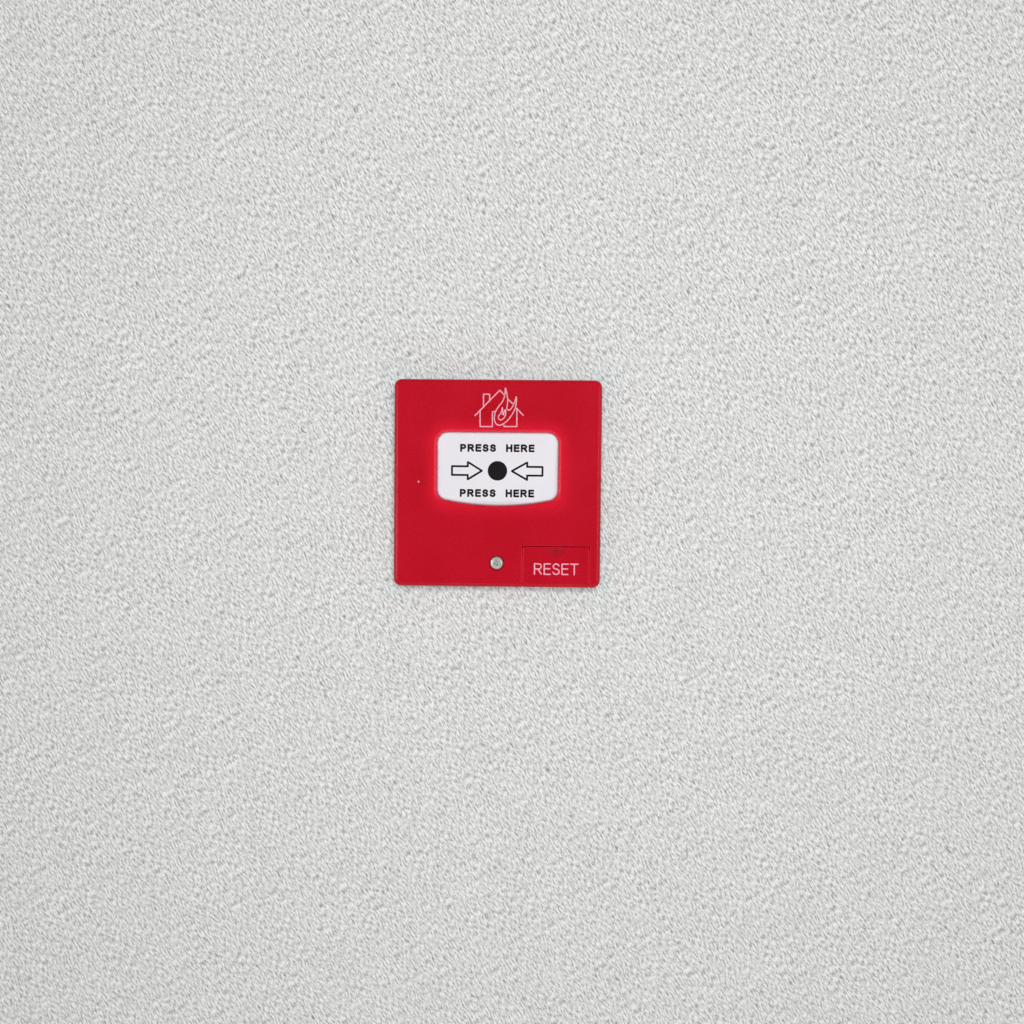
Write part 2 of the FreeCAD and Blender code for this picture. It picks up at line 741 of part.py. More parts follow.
def make_reset_slider():
    body = new_body("reset_slider")
    prism(body, "body", "slider_back", "slider_front",
          rectangle("slider_left", "slider_right", "slider_bottom", "slider_top"))
    prism(body, "arm", "slider_back", "slider_front",
          rectangle("arm_left", "door_centre", "arm_top - arm_drop", "arm_top"))
    travel_end = ("-(cam_level - plate_travel)", "cam_height + plate_travel")
    prism(body, "ear_web", "arm_left", "ear_right",
          rectangle("-slider_front", "-slider_back", "arm_top - arm_drop / 2", "cam_height"),
          plane="YZ_Plane")
    prism(body, "ear", "arm_left", "ear_right",
          stadium(("-cam_level", "cam_height"), travel_end, "pin_radius + pin_gap + ear_wall"),
          plane="YZ_Plane")
    cut(body, "cam_slot", "arm_left - overshoot", "ear_right + overshoot",
        stadium(("-cam_level", "cam_height"), travel_end, "pin_radius + pin_gap"), plane="YZ_Plane")
    pad_sides = ("door_centre - thumb_half_width", "door_centre + thumb_half_width")
    thumb_front = "door_back - thumb_gap"
    prism(body, "thumb_pad", "slider_front", f"{thumb_front} - thumb_ridge",
          rectangle(*pad_sides, "thumb_low", "thumb_top"))
    ridges = [rectangle(*pad_sides, f"thumb_low + thumb_height * {k} / 4 - thumb_ridge * {k} / 4",
                        f"thumb_low + thumb_height * {k} / 4 + thumb_ridge * (1 - {k} / 4)")
              for k in range(5)]
    prism(body, "thumb_ridges", f"{thumb_front} - thumb_ridge", thumb_front, *ridges)
    window_low = "trip_peg_bottom - trip_peg_radius * 2 - end_clearance"
    cut(body, "spring_window", "slider_back - overshoot", "slider_front + overshoot",
        rectangle("door_centre - trip_window_half_width", "door_centre + trip_window_half_width",
                  window_low, "trip_peg_top - trip_peg_radius - end_clearance"))
    prism(body, "spring_peg", "slider_front", "trip_level + trip_coil_radius",
          circle("door_centre", "trip_peg_top", "trip_peg_radius"))
    notch = polygon(("slider_left - overshoot", "detent_height - notch_half_width - overshoot"),
                    ("slider_left", "detent_height - notch_half_width"),
                    ("slider_left + notch_depth", "detent_height"),
                    ("slider_left", "detent_height + notch_half_width"),
                    ("slider_left - overshoot", "detent_height + notch_half_width + overshoot"))
    cut(body, "detent_notch", "slider_back - overshoot", "slider_front + overshoot", notch)
    return finish(body)


# The chassis: deck, tub in the wall box, well behind the plate, posts, rails and bosses.

def make_chassis():
    body = new_body("chassis")
    deck = rounded_rectangle("deck_half_width", "deck_half_height", "deck_corner_radius")
    prism(body, "deck", "0", "deck_thickness", deck)
    rim_front = "deck_thickness + rim_height"
    prism(body, "rim", "deck_thickness", rim_front,
          rounded_rectangle("deck_half_width", "deck_half_height", "deck_corner_radius"))
    cut(body, "rim_inside", "deck_thickness", rim_front,
        rectangle("rim_width - deck_half_width", "deck_half_width - rim_width",
                  "rim_width - deck_half_height", "deck_half_height - rim_width"))
    prism(body, "tub", "tub_back", "deck_thickness / 2",
          rectangle("-tub_half_width", "tub_half_width", "-tub_half_height", "tub_half_height"))
    sides = (("-tub_half_width - overshoot", "-waist_half_width"),
             ("waist_half_width", "tub_half_width + overshoot"))
    notches = [rectangle(left, right, "-waist_half_height", "waist_half_height") for left, right in sides]
    cut(body, "box_lug_notches", "tub_back - overshoot", "0", *notches)
    inner_waist = "waist_half_width - tub_wall"
    inner_shoulder = "waist_half_height + tub_wall"
    cut(body, "tub_inside", "tub_back - overshoot", "0",
        waisted("tub_half_width - tub_wall", "tub_half_height - tub_wall", inner_waist, inner_shoulder))
    prism(body, "well_block", "board_front", "deck_thickness / 2",
          rectangle("-well_half_width - well_wall", "well_half_width + well_wall",
                    "well_bottom - well_wall", "well_top + well_wall"))
    bosses = [circle(f"{x} * board_screw_x", f"{z} * board_screw_z", "board_boss_radius")
              for x in (-1, 1) for z in (-1, 1)]
    prism(body, "board_bosses", "board_front", "deck_thickness / 2", *bosses)
    pilots = [circle(f"{x} * board_screw_x", f"{z} * board_screw_z", "board_screw_radius + running_gap")
              for x in (-1, 1) for z in (-1, 1)]
    cut(body, "board_pilots", "board_front - overshoot", "-tub_rim", *pilots)
    cut(body, "well", "well_floor", "deck_thickness + overshoot",
        rectangle("-well_half_width", "well_half_width", "well_bottom", "well_top"))
    cut(body, "switch_opening", "board_front - overshoot", "well_floor + overshoot",
        rectangle("switch_left - switch_gap", "switch_left + switch_length + switch_gap",
                  "switch_low - switch_gap", "switch_high + switch_gap"))
    posts = [circle(f"{side} * post_place", "post_height", "post_radius") for side in (-1, 1)]
    prism(body, "guide_posts", "well_floor - well_floor_thickness / 2", "post_top", *posts)
    screw_place = ("0", "-cover_screw_drop")
    prism(body, "screw_post", "deck_thickness / 2", "insert_front", circle(*screw_place, "post_radius_outer"))
    cut(body, "insert_bore", "insert_front - insert_length", "insert_front + overshoot",
        circle(*screw_place, "insert_radius + running_gap / 2"))
    cut(body, "screw_relief", "-overshoot", "insert_front - insert_length + overshoot / 2",
        circle(*screw_place, "screw_radius + screw_clearance"))
    slots = [stadium((f"{side} * slot_spacing / 2 - slot_length / 2 + slot_width / 2", "0"),
                     (f"{side} * slot_spacing / 2 + slot_length / 2 - slot_width / 2", "0"), "slot_width / 2")
             for side in (-1, 1)]
    cut(body, "wall_slots", "-overshoot", "deck_thickness + overshoot", *slots)
    cut(body, "light_pipe_hole", "-overshoot", "deck_thickness + overshoot",
        circle("lamp_x", "lamp_z", "pipe_radius + pipe_hole_gap"))
    make_chassis_hooks(body)
    make_chassis_rails(body)
    return finish(body)


def waisted(half_width, half_height, waist, shoulder):
    """A rectangle with a step cut in from each side, clear of the wall box's screw lugs."""
    right = [(waist, f"-({shoulder})"), (waist, shoulder), (half_width, shoulder), (half_width, half_height)]
    left = [(f"-({x})", y) for x, y in reversed(right)]
    low_right = [(half_width, f"-({half_height})"), (half_width, f"-({shoulder})")]
    low_left = [(f"-({x})", y) for x, y in reversed(low_right)]
    return polygon(*right, *left, *low_left, *low_right)


def make_chassis_hooks(body):
    """Two hooks on the deck's top edge, whose nibs sit in front of the cover's ledges."""
    outer = "inside_half_height - hook_nib - hook_gap * 2"
    sides = [(f"{side} * hook_place - hook_width / 2", f"{side} * hook_place + hook_width / 2")
             for side in (-1, 1)]
    nib_front = "hook_level + hook_nib"
    prism(body, "hooks", "deck_thickness / 2", nib_front,
          *[rectangle(left, right, f"{outer} - hook_wall", outer) for left, right in sides])
    prism(body, "hook_nibs", "hook_level", nib_front,
          *[rectangle(left, right, f"{outer} - hook_wall / 2", "inside_half_height - hook_gap * 2")
            for left, right in sides])


def make_chassis_rails(body):
    """Lipped rails that hold the slider down, the slits for the detent spring and the spring's peg."""
    left_wall, right_wall = "slider_left - slider_gap", "slider_right + slider_gap"
    rail_low, rail_high = "slider_bottom - rail_foot", "arm_top - arm_drop - plate_travel - end_clearance"
    leaf_low, leaf_high = "detent_height - detent_half_length", "detent_height + detent_half_length"
    gap_low, gap_high = f"{leaf_low} + detent_grip", f"{leaf_high} - detent_grip"
    post_left = f"{left_wall} - rail_width - detent_bow - detent_grip / 2"
    room = "detent_room"
    spans = ((rail_low, gap_low), (gap_high, rail_high))
    rail_level = "deck_thickness / 2"
    left_rails = [rectangle(f"{left_wall} - rail_width", left_wall, low, high) for low, high in spans]
    right_rail = rectangle(right_wall, f"{right_wall} + rail_width", rail_low, rail_high)
    prism(body, "rails", rail_level, "lip_front", *left_rails, right_rail)
    left_lips = [rectangle(f"{left_wall} - rail_width / 2", f"{left_wall} + rail_lip", low, high)
                 for low, high in spans]
    right_lip = rectangle(f"{right_wall} - rail_lip", f"{right_wall} + rail_width / 2", rail_low, rail_high)
    prism(body, "rail_lips", "lip_back", "lip_front", *left_lips, right_lip)
    anchors = [rectangle(post_left, f"{left_wall} - rail_width / 2", low, high)
               for low, high in ((f"{leaf_low} - 3 * detent_grip", gap_low),
                                 (gap_high, f"{leaf_high} + 3 * detent_grip"))]
    prism(body, "detent_anchors", rail_level, "detent_back + detent_width + detent_gap", *anchors)
    slit_left, slit_right = (f"detent_crest - detent_bow - detent_thickness - {room}",
                             f"detent_crest - detent_bow + {room}")
    slits = [rectangle(slit_left, slit_right, low, high)
             for low, high in ((f"{leaf_low} - detent_grip", f"{gap_low} + overshoot"),
                               (f"{gap_high} - overshoot", f"{leaf_high} + detent_grip"))]
    cut(body, "detent_slits", "deck_thickness", "lip_front + overshoot", *slits)
    prism(body, "spring_peg", rail_level, "trip_level + trip_coil_radius",
          circle("door_centre", "trip_peg_bottom", "trip_peg_radius"))


# The electrical parts in the wall box.

def terminal_places():
    count = int(SIZES["terminal_count"])
    return [f"pin_pitch * ({number} - (terminal_count - 1) / 2)" for number in range(count)]


def switch_pin_places():
    return [f"switch_left + switch_length / 2 + pin_pitch * {step}" for step in (-1, 0, 1)]


def resistor_heights():
    return [f"resistor_z - resistor_pitch * {number}" for number in range(3)]


def axial_leg_reach(length):
    return f"{length} / 2 + bend_radius * bend_share"


def make_circuit_board():
    body = new_body("circuit_board")
    gap = "board_clearance"
    board = waisted(f"tub_half_width - tub_wall - {gap}", f"tub_half_height - tub_wall - {gap}",
                    f"waist_half_width - tub_wall - {gap}", f"waist_half_height + tub_wall + {gap}")
    prism(body, "sheet", "board_back", "board_front", board)
    wide = "board_screw_radius + board_hole_gap"
    screw_holes = [circle(f"{x} * board_screw_x", f"{z} * board_screw_z", wide)
                   for x in (-1, 1) for z in (-1, 1)]
    wide_holes = [circle(x, "terminal_centre", "terminal_leg_radius + leg_gap") for x in terminal_places()]
    switch_holes = [circle(x, "switch_centre", "terminal_leg_radius + leg_gap") for x in switch_pin_places()]
    small = "leg_radius + leg_gap"
    resistor_holes = [circle(f"resistor_x + {side} * ({axial_leg_reach('resistor_length')})", z, small)
                      for z in resistor_heights() for side in (-1, 1)]
    diode_holes = [circle(f"diode_x + {side} * ({axial_leg_reach('diode_length')})", "diode_z", small)
                   for side in (-1, 1)]
    capacitor_holes = [circle("capacitor_x", f"capacitor_z + {side} * pin_pitch / 4", small)
                       for side in (-1, 1)]
    cut(body, "holes", "board_back - overshoot", "board_front + overshoot",
        *screw_holes, *wide_holes, *switch_holes, *resistor_holes, *diode_holes, *capacitor_holes)
    return finish(body)


def make_board_screws():
    body = new_body("board_screws")
    places = [(f"{x} * board_screw_x", f"{z} * board_screw_z") for x in (-1, 1) for z in (-1, 1)]
    head_back = "board_back - board_head_height"
    prism(body, "heads", head_back, "board_back", *[circle(*p, "board_head_radius") for p in places])
    soften(body, "head_edges", "board_head_height / 2", lambda p: at_level(p, head_back))
    prism(body, "shanks", "board_back", "board_back + board_screw_length",
          *[circle(*p, "board_screw_radius") for p in places])
    crosses = [outline for x, z in places
               for outline in cross(x, z, "board_cross_length", "board_cross_width")]
    cut(body, "crosses", head_back, f"{head_back} + board_head_height / 2", *crosses)
    return finish(body)


def cross(x, z, length, width):
    """The outline of a cross recess, twelve corners round a centre."""
    far, near_side = f"({length}) / 2", f"({width}) / 2"
    steps = [(far, near_side, 1, 1), (near_side, near_side, 1, 1), (near_side, far, 1, 1),
             (near_side, far, -1, 1), (near_side, near_side, -1, 1), (far, near_side, -1, 1),
             (far, near_side, -1, -1), (near_side, near_side, -1, -1), (near_side, far, -1, -1),
             (near_side, far, 1, -1), (near_side, near_side, 1, -1), (far, near_side, 1, -1)]
    corners = [(f"{x} + {sx} * {dx}", f"{z} + {sz} * {dz}") for dx, dz, sx, sz in steps]
    return [polygon(*corners)]


def make_cover_screw():
    body = new_body("cover_screw")
    place = ("0", "-cover_screw_drop")
    head_front = "head_seat + screw_head_height"
    prism(body, "head", "head_seat", head_front, circle(*place, "screw_head_radius"))
    soften(body, "head_edge", "screw_head_height / 2", lambda p: at_level(p, head_front))
    prism(body, "shank", "head_seat - screw_length", "head_seat", circle(*place, "screw_radius"))
    cut(body, "cross", f"{head_front} - cross_depth", head_front,
        *cross("0", "-cover_screw_drop", "cross_length", "cross_width"))
    return finish(body)


def make_screw_insert():
    body = new_body("screw_insert")
    place = ("0", "-cover_screw_drop")
    prism(body, "barrel", "insert_front - insert_length", "insert_front", circle(*place, "insert_radius"))
    cut(body, "bore", "insert_front - insert_length - overshoot", "insert_front + overshoot",
        circle(*place, "screw_radius + running_gap"))
    return finish(body)


def make_terminal_block():
    body = new_body("terminal_block")
    prism(body, "housing", "terminal_back", "board_back",
          rectangle("-terminal_half_width", "terminal_half_width", "terminal_low", "terminal_high"))
    entries = [rectangle(f"{x} - entry_half_width", f"{x} + entry_half_width",
                         "terminal_low - overshoot", "terminal_low + entry_depth") for x in terminal_places()]
    cut(body, "wire_entries", "entry_back", "entry_front", *entries)
    cut(body, "screw_wells", "terminal_back - overshoot", "entry_back",
        *[circle(x, "terminal_centre", "terminal_well_radius") for x in terminal_places()])
    cut(body, "leg_holes", "entry_front", "board_back + overshoot",
        *[circle(x, "terminal_centre", "terminal_leg_radius + leg_gap") for x in terminal_places()])
    return finish(body)


def make_terminal_clamps():
    body = new_body("terminal_clamps")
    half = "entry_half_width - clamp_gap"
    blocks = [rectangle(f"{x} - ({half})", f"{x} + {half}", "terminal_low + clamp_bite",
                        "terminal_low + entry_depth - clamp_gap") for x in terminal_places()]
    prism(body, "blocks", "clamp_back", "clamp_front", *blocks)
    wire_rooms = [rectangle("-clamp_front + clamp_bite / 2 - clamp_top", "-clamp_back - clamp_bite",
                            "terminal_low", "terminal_low + entry_depth + overshoot")]
    for number, x in enumerate(terminal_places()):
        inner = "entry_half_width - clamp_gap - clamp_wall"
        cut(body, f"wire_room_{number}", f"{x} - ({inner})", f"{x} + {inner}", *wire_rooms, plane="YZ_Plane")
    cut(body, "threads", "clamp_back - overshoot", "clamp_back + clamp_bite + thread_lead",
        *[circle(x, "terminal_centre", "terminal_screw_radius + running_gap") for x in terminal_places()])
    prism(body, "legs", "clamp_front - clamp_bite / 4", "leg_end",
          *[circle(x, "terminal_centre", "terminal_leg_radius") for x in terminal_places()])
    return finish(body)


def make_terminal_screws():
    body = new_body("terminal_screws")
    prism(body, "heads", "terminal_head_back", "terminal_head_front",
          *[circle(x, "terminal_centre", "terminal_head_radius") for x in terminal_places()])
    prism(body, "shanks", "terminal_head_front", "clamp_back + clamp_bite",
          *[circle(x, "terminal_centre", "terminal_screw_radius") for x in terminal_places()])
    slots = [rectangle(f"{x} - terminal_head_radius - overshoot", f"{x} + terminal_head_radius + overshoot",
                       "terminal_centre - driver_slot / 2", "terminal_centre + driver_slot / 2")
             for x in terminal_places()]
    cut(body, "driver_slots", "terminal_head_back - overshoot", "terminal_head_back + driver_slot", *slots)
    return finish(body)


def make_switch():
    """The microswitch's case with its hinge ears, then its pins, hinge pin, plunger and lever."""
    case = new_body("switch_case")
    prism(case, "box", "board_front", "switch_front",
          rectangle("switch_left", "switch_left + switch_length", "switch_low", "switch_high"))
    soften(case, "corners", "switch_corner_radius", lambda p: p.y > value("-switch_front") - 1 and (
        near(p.x, value("switch_left")) or near(p.x, value("switch_left + switch_length")))
        and (near(p.z, value("switch_low")) or near(p.z, value("switch_high"))))
    knuckle_room = "lever_width / 2 + slider_gap"
    ear = ("knuckle_radius", "hinge_level + knuckle_radius")
    beside = (("switch_low", f"switch_centre - ({knuckle_room})"),
              (f"switch_centre + {knuckle_room}", "switch_high"))
    ears = [rectangle(f"hinge_x - {ear[0]}", f"hinge_x + {ear[0]}", low, high) for low, high in beside]
    prism(case, "ears", "switch_front - overshoot", ear[1], *ears)
    cut(case, "hinge_bore", "switch_low - overshoot", "switch_high + overshoot",
        circle("hinge_x", "-hinge_level", "hinge_pin_radius + running_gap / 2"), plane="XY_Plane")
    cut(case, "plunger_bore", "plunger_top - plunger_length - plunger_travel - end_clearance",
        "switch_front + overshoot", circle("plunger_x", "switch_centre", "plunger_radius + plunger_gap"))
    finish(case)

    pins = new_body("switch_terminals")
    prism(pins, "pins", "board_back - switch_pin_proud", "board_front",
          *[circle(x, "switch_centre", "terminal_leg_radius") for x in switch_pin_places()])
    finish(pins)

    hinge_pin = new_body("switch_hinge_pin")
    prism(hinge_pin, "pin", "switch_low", "switch_high",
          circle("hinge_x", "-hinge_level", "hinge_pin_radius"), plane="XY_Plane")
    finish(hinge_pin)

    plunger = new_body("switch_plunger")
    prism(plunger, "rod", "plunger_top - plunger_length", "plunger_top",
          circle("plunger_x", "switch_centre", "plunger_radius"))
    soften(plunger, "nose", "plunger_nose_radius", lambda p: at_level(p, "plunger_top"))
    finish(plunger)

    lever = new_body("switch_lever")
    low, high = "switch_centre - lever_width / 2", "switch_centre + lever_width / 2"
    along = ("cos(lever_angle)", "-sin(lever_angle)")
    across = ("sin(lever_angle)", "cos(lever_angle)")
    reach, half = "(lever_arm / cos(lever_angle) + lever_tail)", "lever_thickness / 2"
    start = "(knuckle_radius / 2)"
    corners = [(f"hinge_x + {d} * {along[0]} + {s} * {half} * {across[0]}",
                f"-hinge_level + {d} * {along[1]} + {s} * {half} * {across[1]}")
               for d, s in ((start, 1), (reach, 1), (reach, -1), (start, -1))]
    prism(lever, "blade", low, high, polygon(*corners), plane="XY_Plane")
    prism(lever, "knuckle", low, high, circle("hinge_x", "-hinge_level", "knuckle_radius"), plane="XY_Plane")
    cut(lever, "knuckle_bore", f"{low} - overshoot", f"{high} + overshoot",
        circle("hinge_x", "-hinge_level", "hinge_pin_radius + running_gap"), plane="XY_Plane")
    finish(lever)


def make_light():
    pipe = new_body("light_pipe")
    prism(pipe, "arm", "pipe_back", "pipe_front",
          stadium(("light_x", "light_z"), ("lamp_x", "lamp_z"), "pipe_radius"))
    prism(pipe, "nib", "pipe_front - pipe_overlap", "cover_proud - light_sink",
          circle("light_x", "light_z", "light_radius"))
    prism(pipe, "leg", "lamp_front + lamp_gap", "pipe_back + pipe_overlap",
          circle("lamp_x", "lamp_z", "pipe_radius"))
    finish(pipe)
    lamp = new_body("alarm_led")
    prism(lamp, "package", "board_front", "lamp_front",
          rectangle("lamp_x - lamp_width / 2", "lamp_x + lamp_width / 2",
                    "lamp_z - lamp_depth / 2", "lamp_z + lamp_depth / 2"))
    cut(lamp, "cup", "lamp_front - lamp_gap * 2", "lamp_front + overshoot",
        circle("lamp_x", "lamp_z", "lamp_cup_radius"))
    finish(lamp)


def make_capacitor():
    body = new_body("capacitor")
    place = ("capacitor_x", "capacitor_z")
    back = "board_back - capacitor_height"
    prism(body, "can", back, "board_back", circle(*place, "capacitor_radius"))
    soften(body, "can_edge", "capacitor_neck", lambda p: at_level(p, back))
    ring = [circle(*place, "capacitor_radius + overshoot"),
            circle(*place, "capacitor_radius - capacitor_neck")]
    cut(body, "neck", "board_back - capacitor_groove_back", "board_back - capacitor_groove_front", *ring)
    legs = [circle("capacitor_x", f"capacitor_z + {side} * pin_pitch / 4", "leg_radius") for side in (-1, 1)]
    prism(body, "legs", "board_back", "leg_end", *legs)
    return finish(body)


def bent_wire(left, right, level):
    """The path of a wire that runs across at one level and bends down at both ends."""

    def draw(sketch):
        x, far_x, foot, top = value(left), value(right), -value("leg_end"), -value(level)
        r = value("bend_radius")
        leg = line(sketch, (x, foot, 0), (x, top - r, 0))
        bend = arc(sketch, (x + r, top - r, 0), r, 90, 180)
        across = line(sketch, (x + r, top, 0), (far_x - r, top, 0))
        far_bend = arc(sketch, (far_x - r, top - r, 0), r, 0, 90)
        far_leg = line(sketch, (far_x, top - r, 0), (far_x, foot, 0))
        joints = ((leg, 2, bend, 2), (bend, 1, across, 1), (across, 2, far_bend, 2),
                  (far_bend, 1, far_leg, 1))
        for joint in joints:
            sketch.addConstraint(Sketcher.Constraint("Tangent", *joint))
        sketch.addConstraint(Sketcher.Constraint("Equal", bend, far_bend))
        hold(sketch, "Radius", bend, to="bend_radius")
        hold(sketch, "DistanceX", -1, 1, leg, 1, to=left)
        hold(sketch, "DistanceY", -1, 1, leg, 1, to="-leg_end")
        hold(sketch, "DistanceX", -1, 1, leg, 2, to=left)
        hold(sketch, "DistanceY", -1, 1, across, 1, to=f"-({level})")
        hold(sketch, "DistanceY", -1, 1, across, 2, to=f"-({level})")
        hold(sketch, "DistanceX", -1, 1, far_leg, 2, to=right)
        hold(sketch, "DistanceY", -1, 1, far_leg, 2, to="-leg_end")

    return draw


def add_axial(body, name, x, z, length, radius):
    """A body lying along X above the board, on a wire that bends down into two holes."""
    level = f"board_back - {radius} - leg_gap"
    reach = axial_leg_reach(length)
    left, right = f"{x} - ({reach})", f"{x} + {reach}"
    ends = (f"{x} - {length} / 2", f"{x} + {length} / 2")
    prism(body, f"{name}_body", *ends, circle(f"-({level})", z, radius), plane="YZ_Plane")
    bevel(body, f"{name}_ends", f"{radius} * axial_bevel_share",
          lambda p: (near(p.x, value(ends[0])) or near(p.x, value(ends[1])))
          and abs(p.z - value(z)) < value(radius) + SEARCH_MARGIN)
    wire = body.newObject("PartDesign::AdditivePipe", f"{body.Label}_{name}_wire")
    wire.Profile = draw_on(body, f"{name}_wire", "XZ_Plane", "leg_end", [circle(left, z, "leg_radius")])
    path = draw_on(body, f"{name}_path", "XY_Plane", z, [bent_wire(left, right, level)])
    wire.Spine = (path, [f"Edge{number}" for number in range(1, 6)])


def make_axial_parts():
    resistors = new_body("resistors")
    for number, z in enumerate(resistor_heights()):
        add_axial(resistors, f"resistor_{number}", "resistor_x", z, "resistor_length", "resistor_radius")
    finish(resistors)
    diode = new_body("diode")
    add_axial(diode, "diode", "diode_x", "diode_z", "diode_length", "diode_radius")
    finish(diode)


# The two springs of the reset mechanism.

def make_trip_spring():
    """An extension spring between the chassis peg and the slider's peg, with a ring at each end."""
    body = new_body("trip_spring")
    wire = "trip_wire / 2"
    low, high = "trip_peg_bottom + trip_coil_radius", "trip_peg_top - trip_coil_radius"
    profile = draw_on(body, "wire", "XZ_Plane", "trip_level", [wire_section("trip_coil_radius", low, wire)])
    bind(profile, "AttachmentOffset.Base.x", "door_centre")
    coil = body.newObject("PartDesign::AdditiveHelix", "trip_spring_coil")
    coil.Profile = profile
    coil.ReferenceAxis = (profile, ["V_Axis"])
    coil.Mode = "height-turns-angle"
    bind(coil, "Turns", "trip_turns")
    bind(coil, "Height", f"({high}) - ({low})")
    for name, peg, end in (("low", "trip_peg_bottom", low), ("high", "trip_peg_top", high)):
        section = draw_on(body, f"{name}_ring", "YZ_Plane", "door_centre",
                          [wire_section("-trip_level", "trip_coil_radius", wire)])
        bind(section, "AttachmentOffset.Base.y", peg)
        ring = body.newObject("PartDesign::Revolution", f"trip_spring_{name}_ring")
        ring.Profile = section
        ring.ReferenceAxis = (section, ["H_Axis"])
        prism(body, f"{name}_link", "door_centre - trip_wire", "door_centre + trip_coil_radius",
              circle("-trip_level", end, f"{wire} * link_share"), plane="YZ_Plane")
    return finish(body)


def make_detent_spring():
    """A bowed leaf beside the slider, with its crest in the slider's notch."""
    body = new_body("detent_spring")

    def leaf(sketch):
        crest, radius, half = value("detent_crest"), value("detent_radius"), value("detent_half_length")
        height, thick = value("detent_height"), value("detent_thickness")
        middle = (crest - radius, height, 0)
        spread = math.degrees(math.asin(half / radius))
        outer = arc(sketch, middle, radius, -spread, spread)
        inner = arc(sketch, middle, radius - thick, -spread, spread)
        ends = [line(sketch, point_on(middle, r, a), point_on(middle, q, a))
                for r, q, a in ((radius, radius - thick, spread), (radius - thick, radius, -spread))]
        joints = ((outer, 2, ends[0], 1), (ends[0], 2, inner, 2), (inner, 1, ends[1], 1),
                  (ends[1], 2, outer, 1))
        for joint in joints:
            sketch.addConstraint(Sketcher.Constraint("Coincident", *joint))
        sketch.addConstraint(Sketcher.Constraint("Coincident", outer, 3, inner, 3))
        for end in ends:
            sketch.addConstraint(Sketcher.Constraint("PointOnObject", outer, 3, end))
        hold(sketch, "Radius", outer, to="detent_radius")
        hold(sketch, "Radius", inner, to="detent_radius - detent_thickness")
        hold(sketch, "DistanceX", -1, 1, outer, 3, to="detent_crest - detent_radius")
        hold(sketch, "DistanceY", -1, 1, outer, 3, to="detent_height")
        hold(sketch, "DistanceY", -1, 1, outer, 2, to="detent_height + detent_half_length")
        hold(sketch, "DistanceY", -1, 1, outer, 1, to="detent_height - detent_half_length")

    prism(body, "leaf", "detent_back", "detent_back + detent_width", leaf)
    return finish(body)


def point_on(centre, radius, degrees):
    angle = math.radians(degrees)
    return (centre[0] + radius * math.cos(angle), centre[1] + radius * math.sin(angle), 0)


make_front_cover()
make_reset_door()
make_operating_plate()
make_reset_slider()
make_chassis()
make_circuit_board()
make_board_screws()
make_cover_screw()
make_screw_insert()
make_terminal_block()
make_terminal_clamps()
make_terminal_screws()
make_switch()
make_light()
make_capacitor()
make_axial_parts()
make_detent_spring()
make_trip_spring()

doc.recompute()
failed = [o.Label for o in doc.Objects if {"Invalid", "Error"} & set(o.State)]
if failed:
    raise RuntimeError(f"these objects failed: {failed}")
for part in SUB_PARTS:
    if part.Shape.isNull() or not part.Shape.isValid():
        raise RuntimeError(f"{part.Label} has no valid shape")

os.makedirs("parts", exist_ok=True)
for part in SUB_PARTS:
    part.Shape.exportStep(f"parts/{part.Label}.step")
    box = part.Shape.BoundBox
    print(f"{part.Label:18s} solids {len(part.Shape.Solids)}  x {box.XMin:7.2f} {box.XMax:7.2f}"
          f"  y {box.YMin:7.2f} {box.YMax:7.2f}  z {box.ZMin:7.2f} {box.ZMax:7.2f}")
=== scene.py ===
# %% [markdown]
# # Fire alarm call point
# A red box on a wall with a white plate that is pressed to raise the alarm. The solids come from
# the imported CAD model, in metres: X to the right, Y into the wall, Z up, and y = 0 is the wall.
# This notebook gives them their finishes, and makes the fine pieces that CAD leaves plain: screws
# with threads, the printing, the spring and what is soldered to the circuit board.

# %% Load the frame
import math

import bmesh
import bpy
from mathutils import Matrix, Vector


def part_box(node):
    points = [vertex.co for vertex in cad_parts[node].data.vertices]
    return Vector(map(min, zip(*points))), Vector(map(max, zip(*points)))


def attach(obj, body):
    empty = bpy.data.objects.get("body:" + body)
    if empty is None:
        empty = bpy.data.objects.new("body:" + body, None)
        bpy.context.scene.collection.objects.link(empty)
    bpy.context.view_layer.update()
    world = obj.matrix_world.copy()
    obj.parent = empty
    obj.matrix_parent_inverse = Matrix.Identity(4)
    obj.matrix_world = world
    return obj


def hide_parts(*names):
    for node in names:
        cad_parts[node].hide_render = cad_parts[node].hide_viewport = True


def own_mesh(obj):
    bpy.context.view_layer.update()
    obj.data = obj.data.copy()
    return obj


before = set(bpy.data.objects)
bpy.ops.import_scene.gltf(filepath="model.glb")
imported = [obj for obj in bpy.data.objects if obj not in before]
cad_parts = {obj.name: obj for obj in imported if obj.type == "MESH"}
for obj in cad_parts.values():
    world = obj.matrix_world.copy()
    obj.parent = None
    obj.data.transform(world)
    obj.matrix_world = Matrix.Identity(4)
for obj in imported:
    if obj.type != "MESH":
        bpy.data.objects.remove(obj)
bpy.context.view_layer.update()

MM = 0.001

# %% [markdown]
# ## Helpers
# Colours are written as sRGB hex values, as a paint program shows them, and Blender's sockets want
# linear light, so one function turns them. One more adds a node to a shader tree or to a geometry
# tree. Its `inputs` are values, hex colours or sockets to link, and its other words are the node's
# settings. Where a Mix node blends colours, input 0 is the share of the second one, inputs 6 and 7 are
# the two colours, and output 2 is their blend. A Map Range node moves its input 0 from the range 1 to 2
# into the range 3 to 4, which is 0 to 1 if it isn't given. A Noise node's scale is 1 / size in mm.

# %% Helpers for colours, nodes and new objects
def colour(hex_value):
    """Linear colour of an sRGB hex value such as "BE1622"."""
    parts = [int(hex_value[i:i + 2], 16) / 255 for i in (0, 2, 4)]
    return tuple(p / 12.92 if p <= 0.04045 else ((p + 0.055) / 1.055) ** 2.4 for p in parts) + (1.0,)


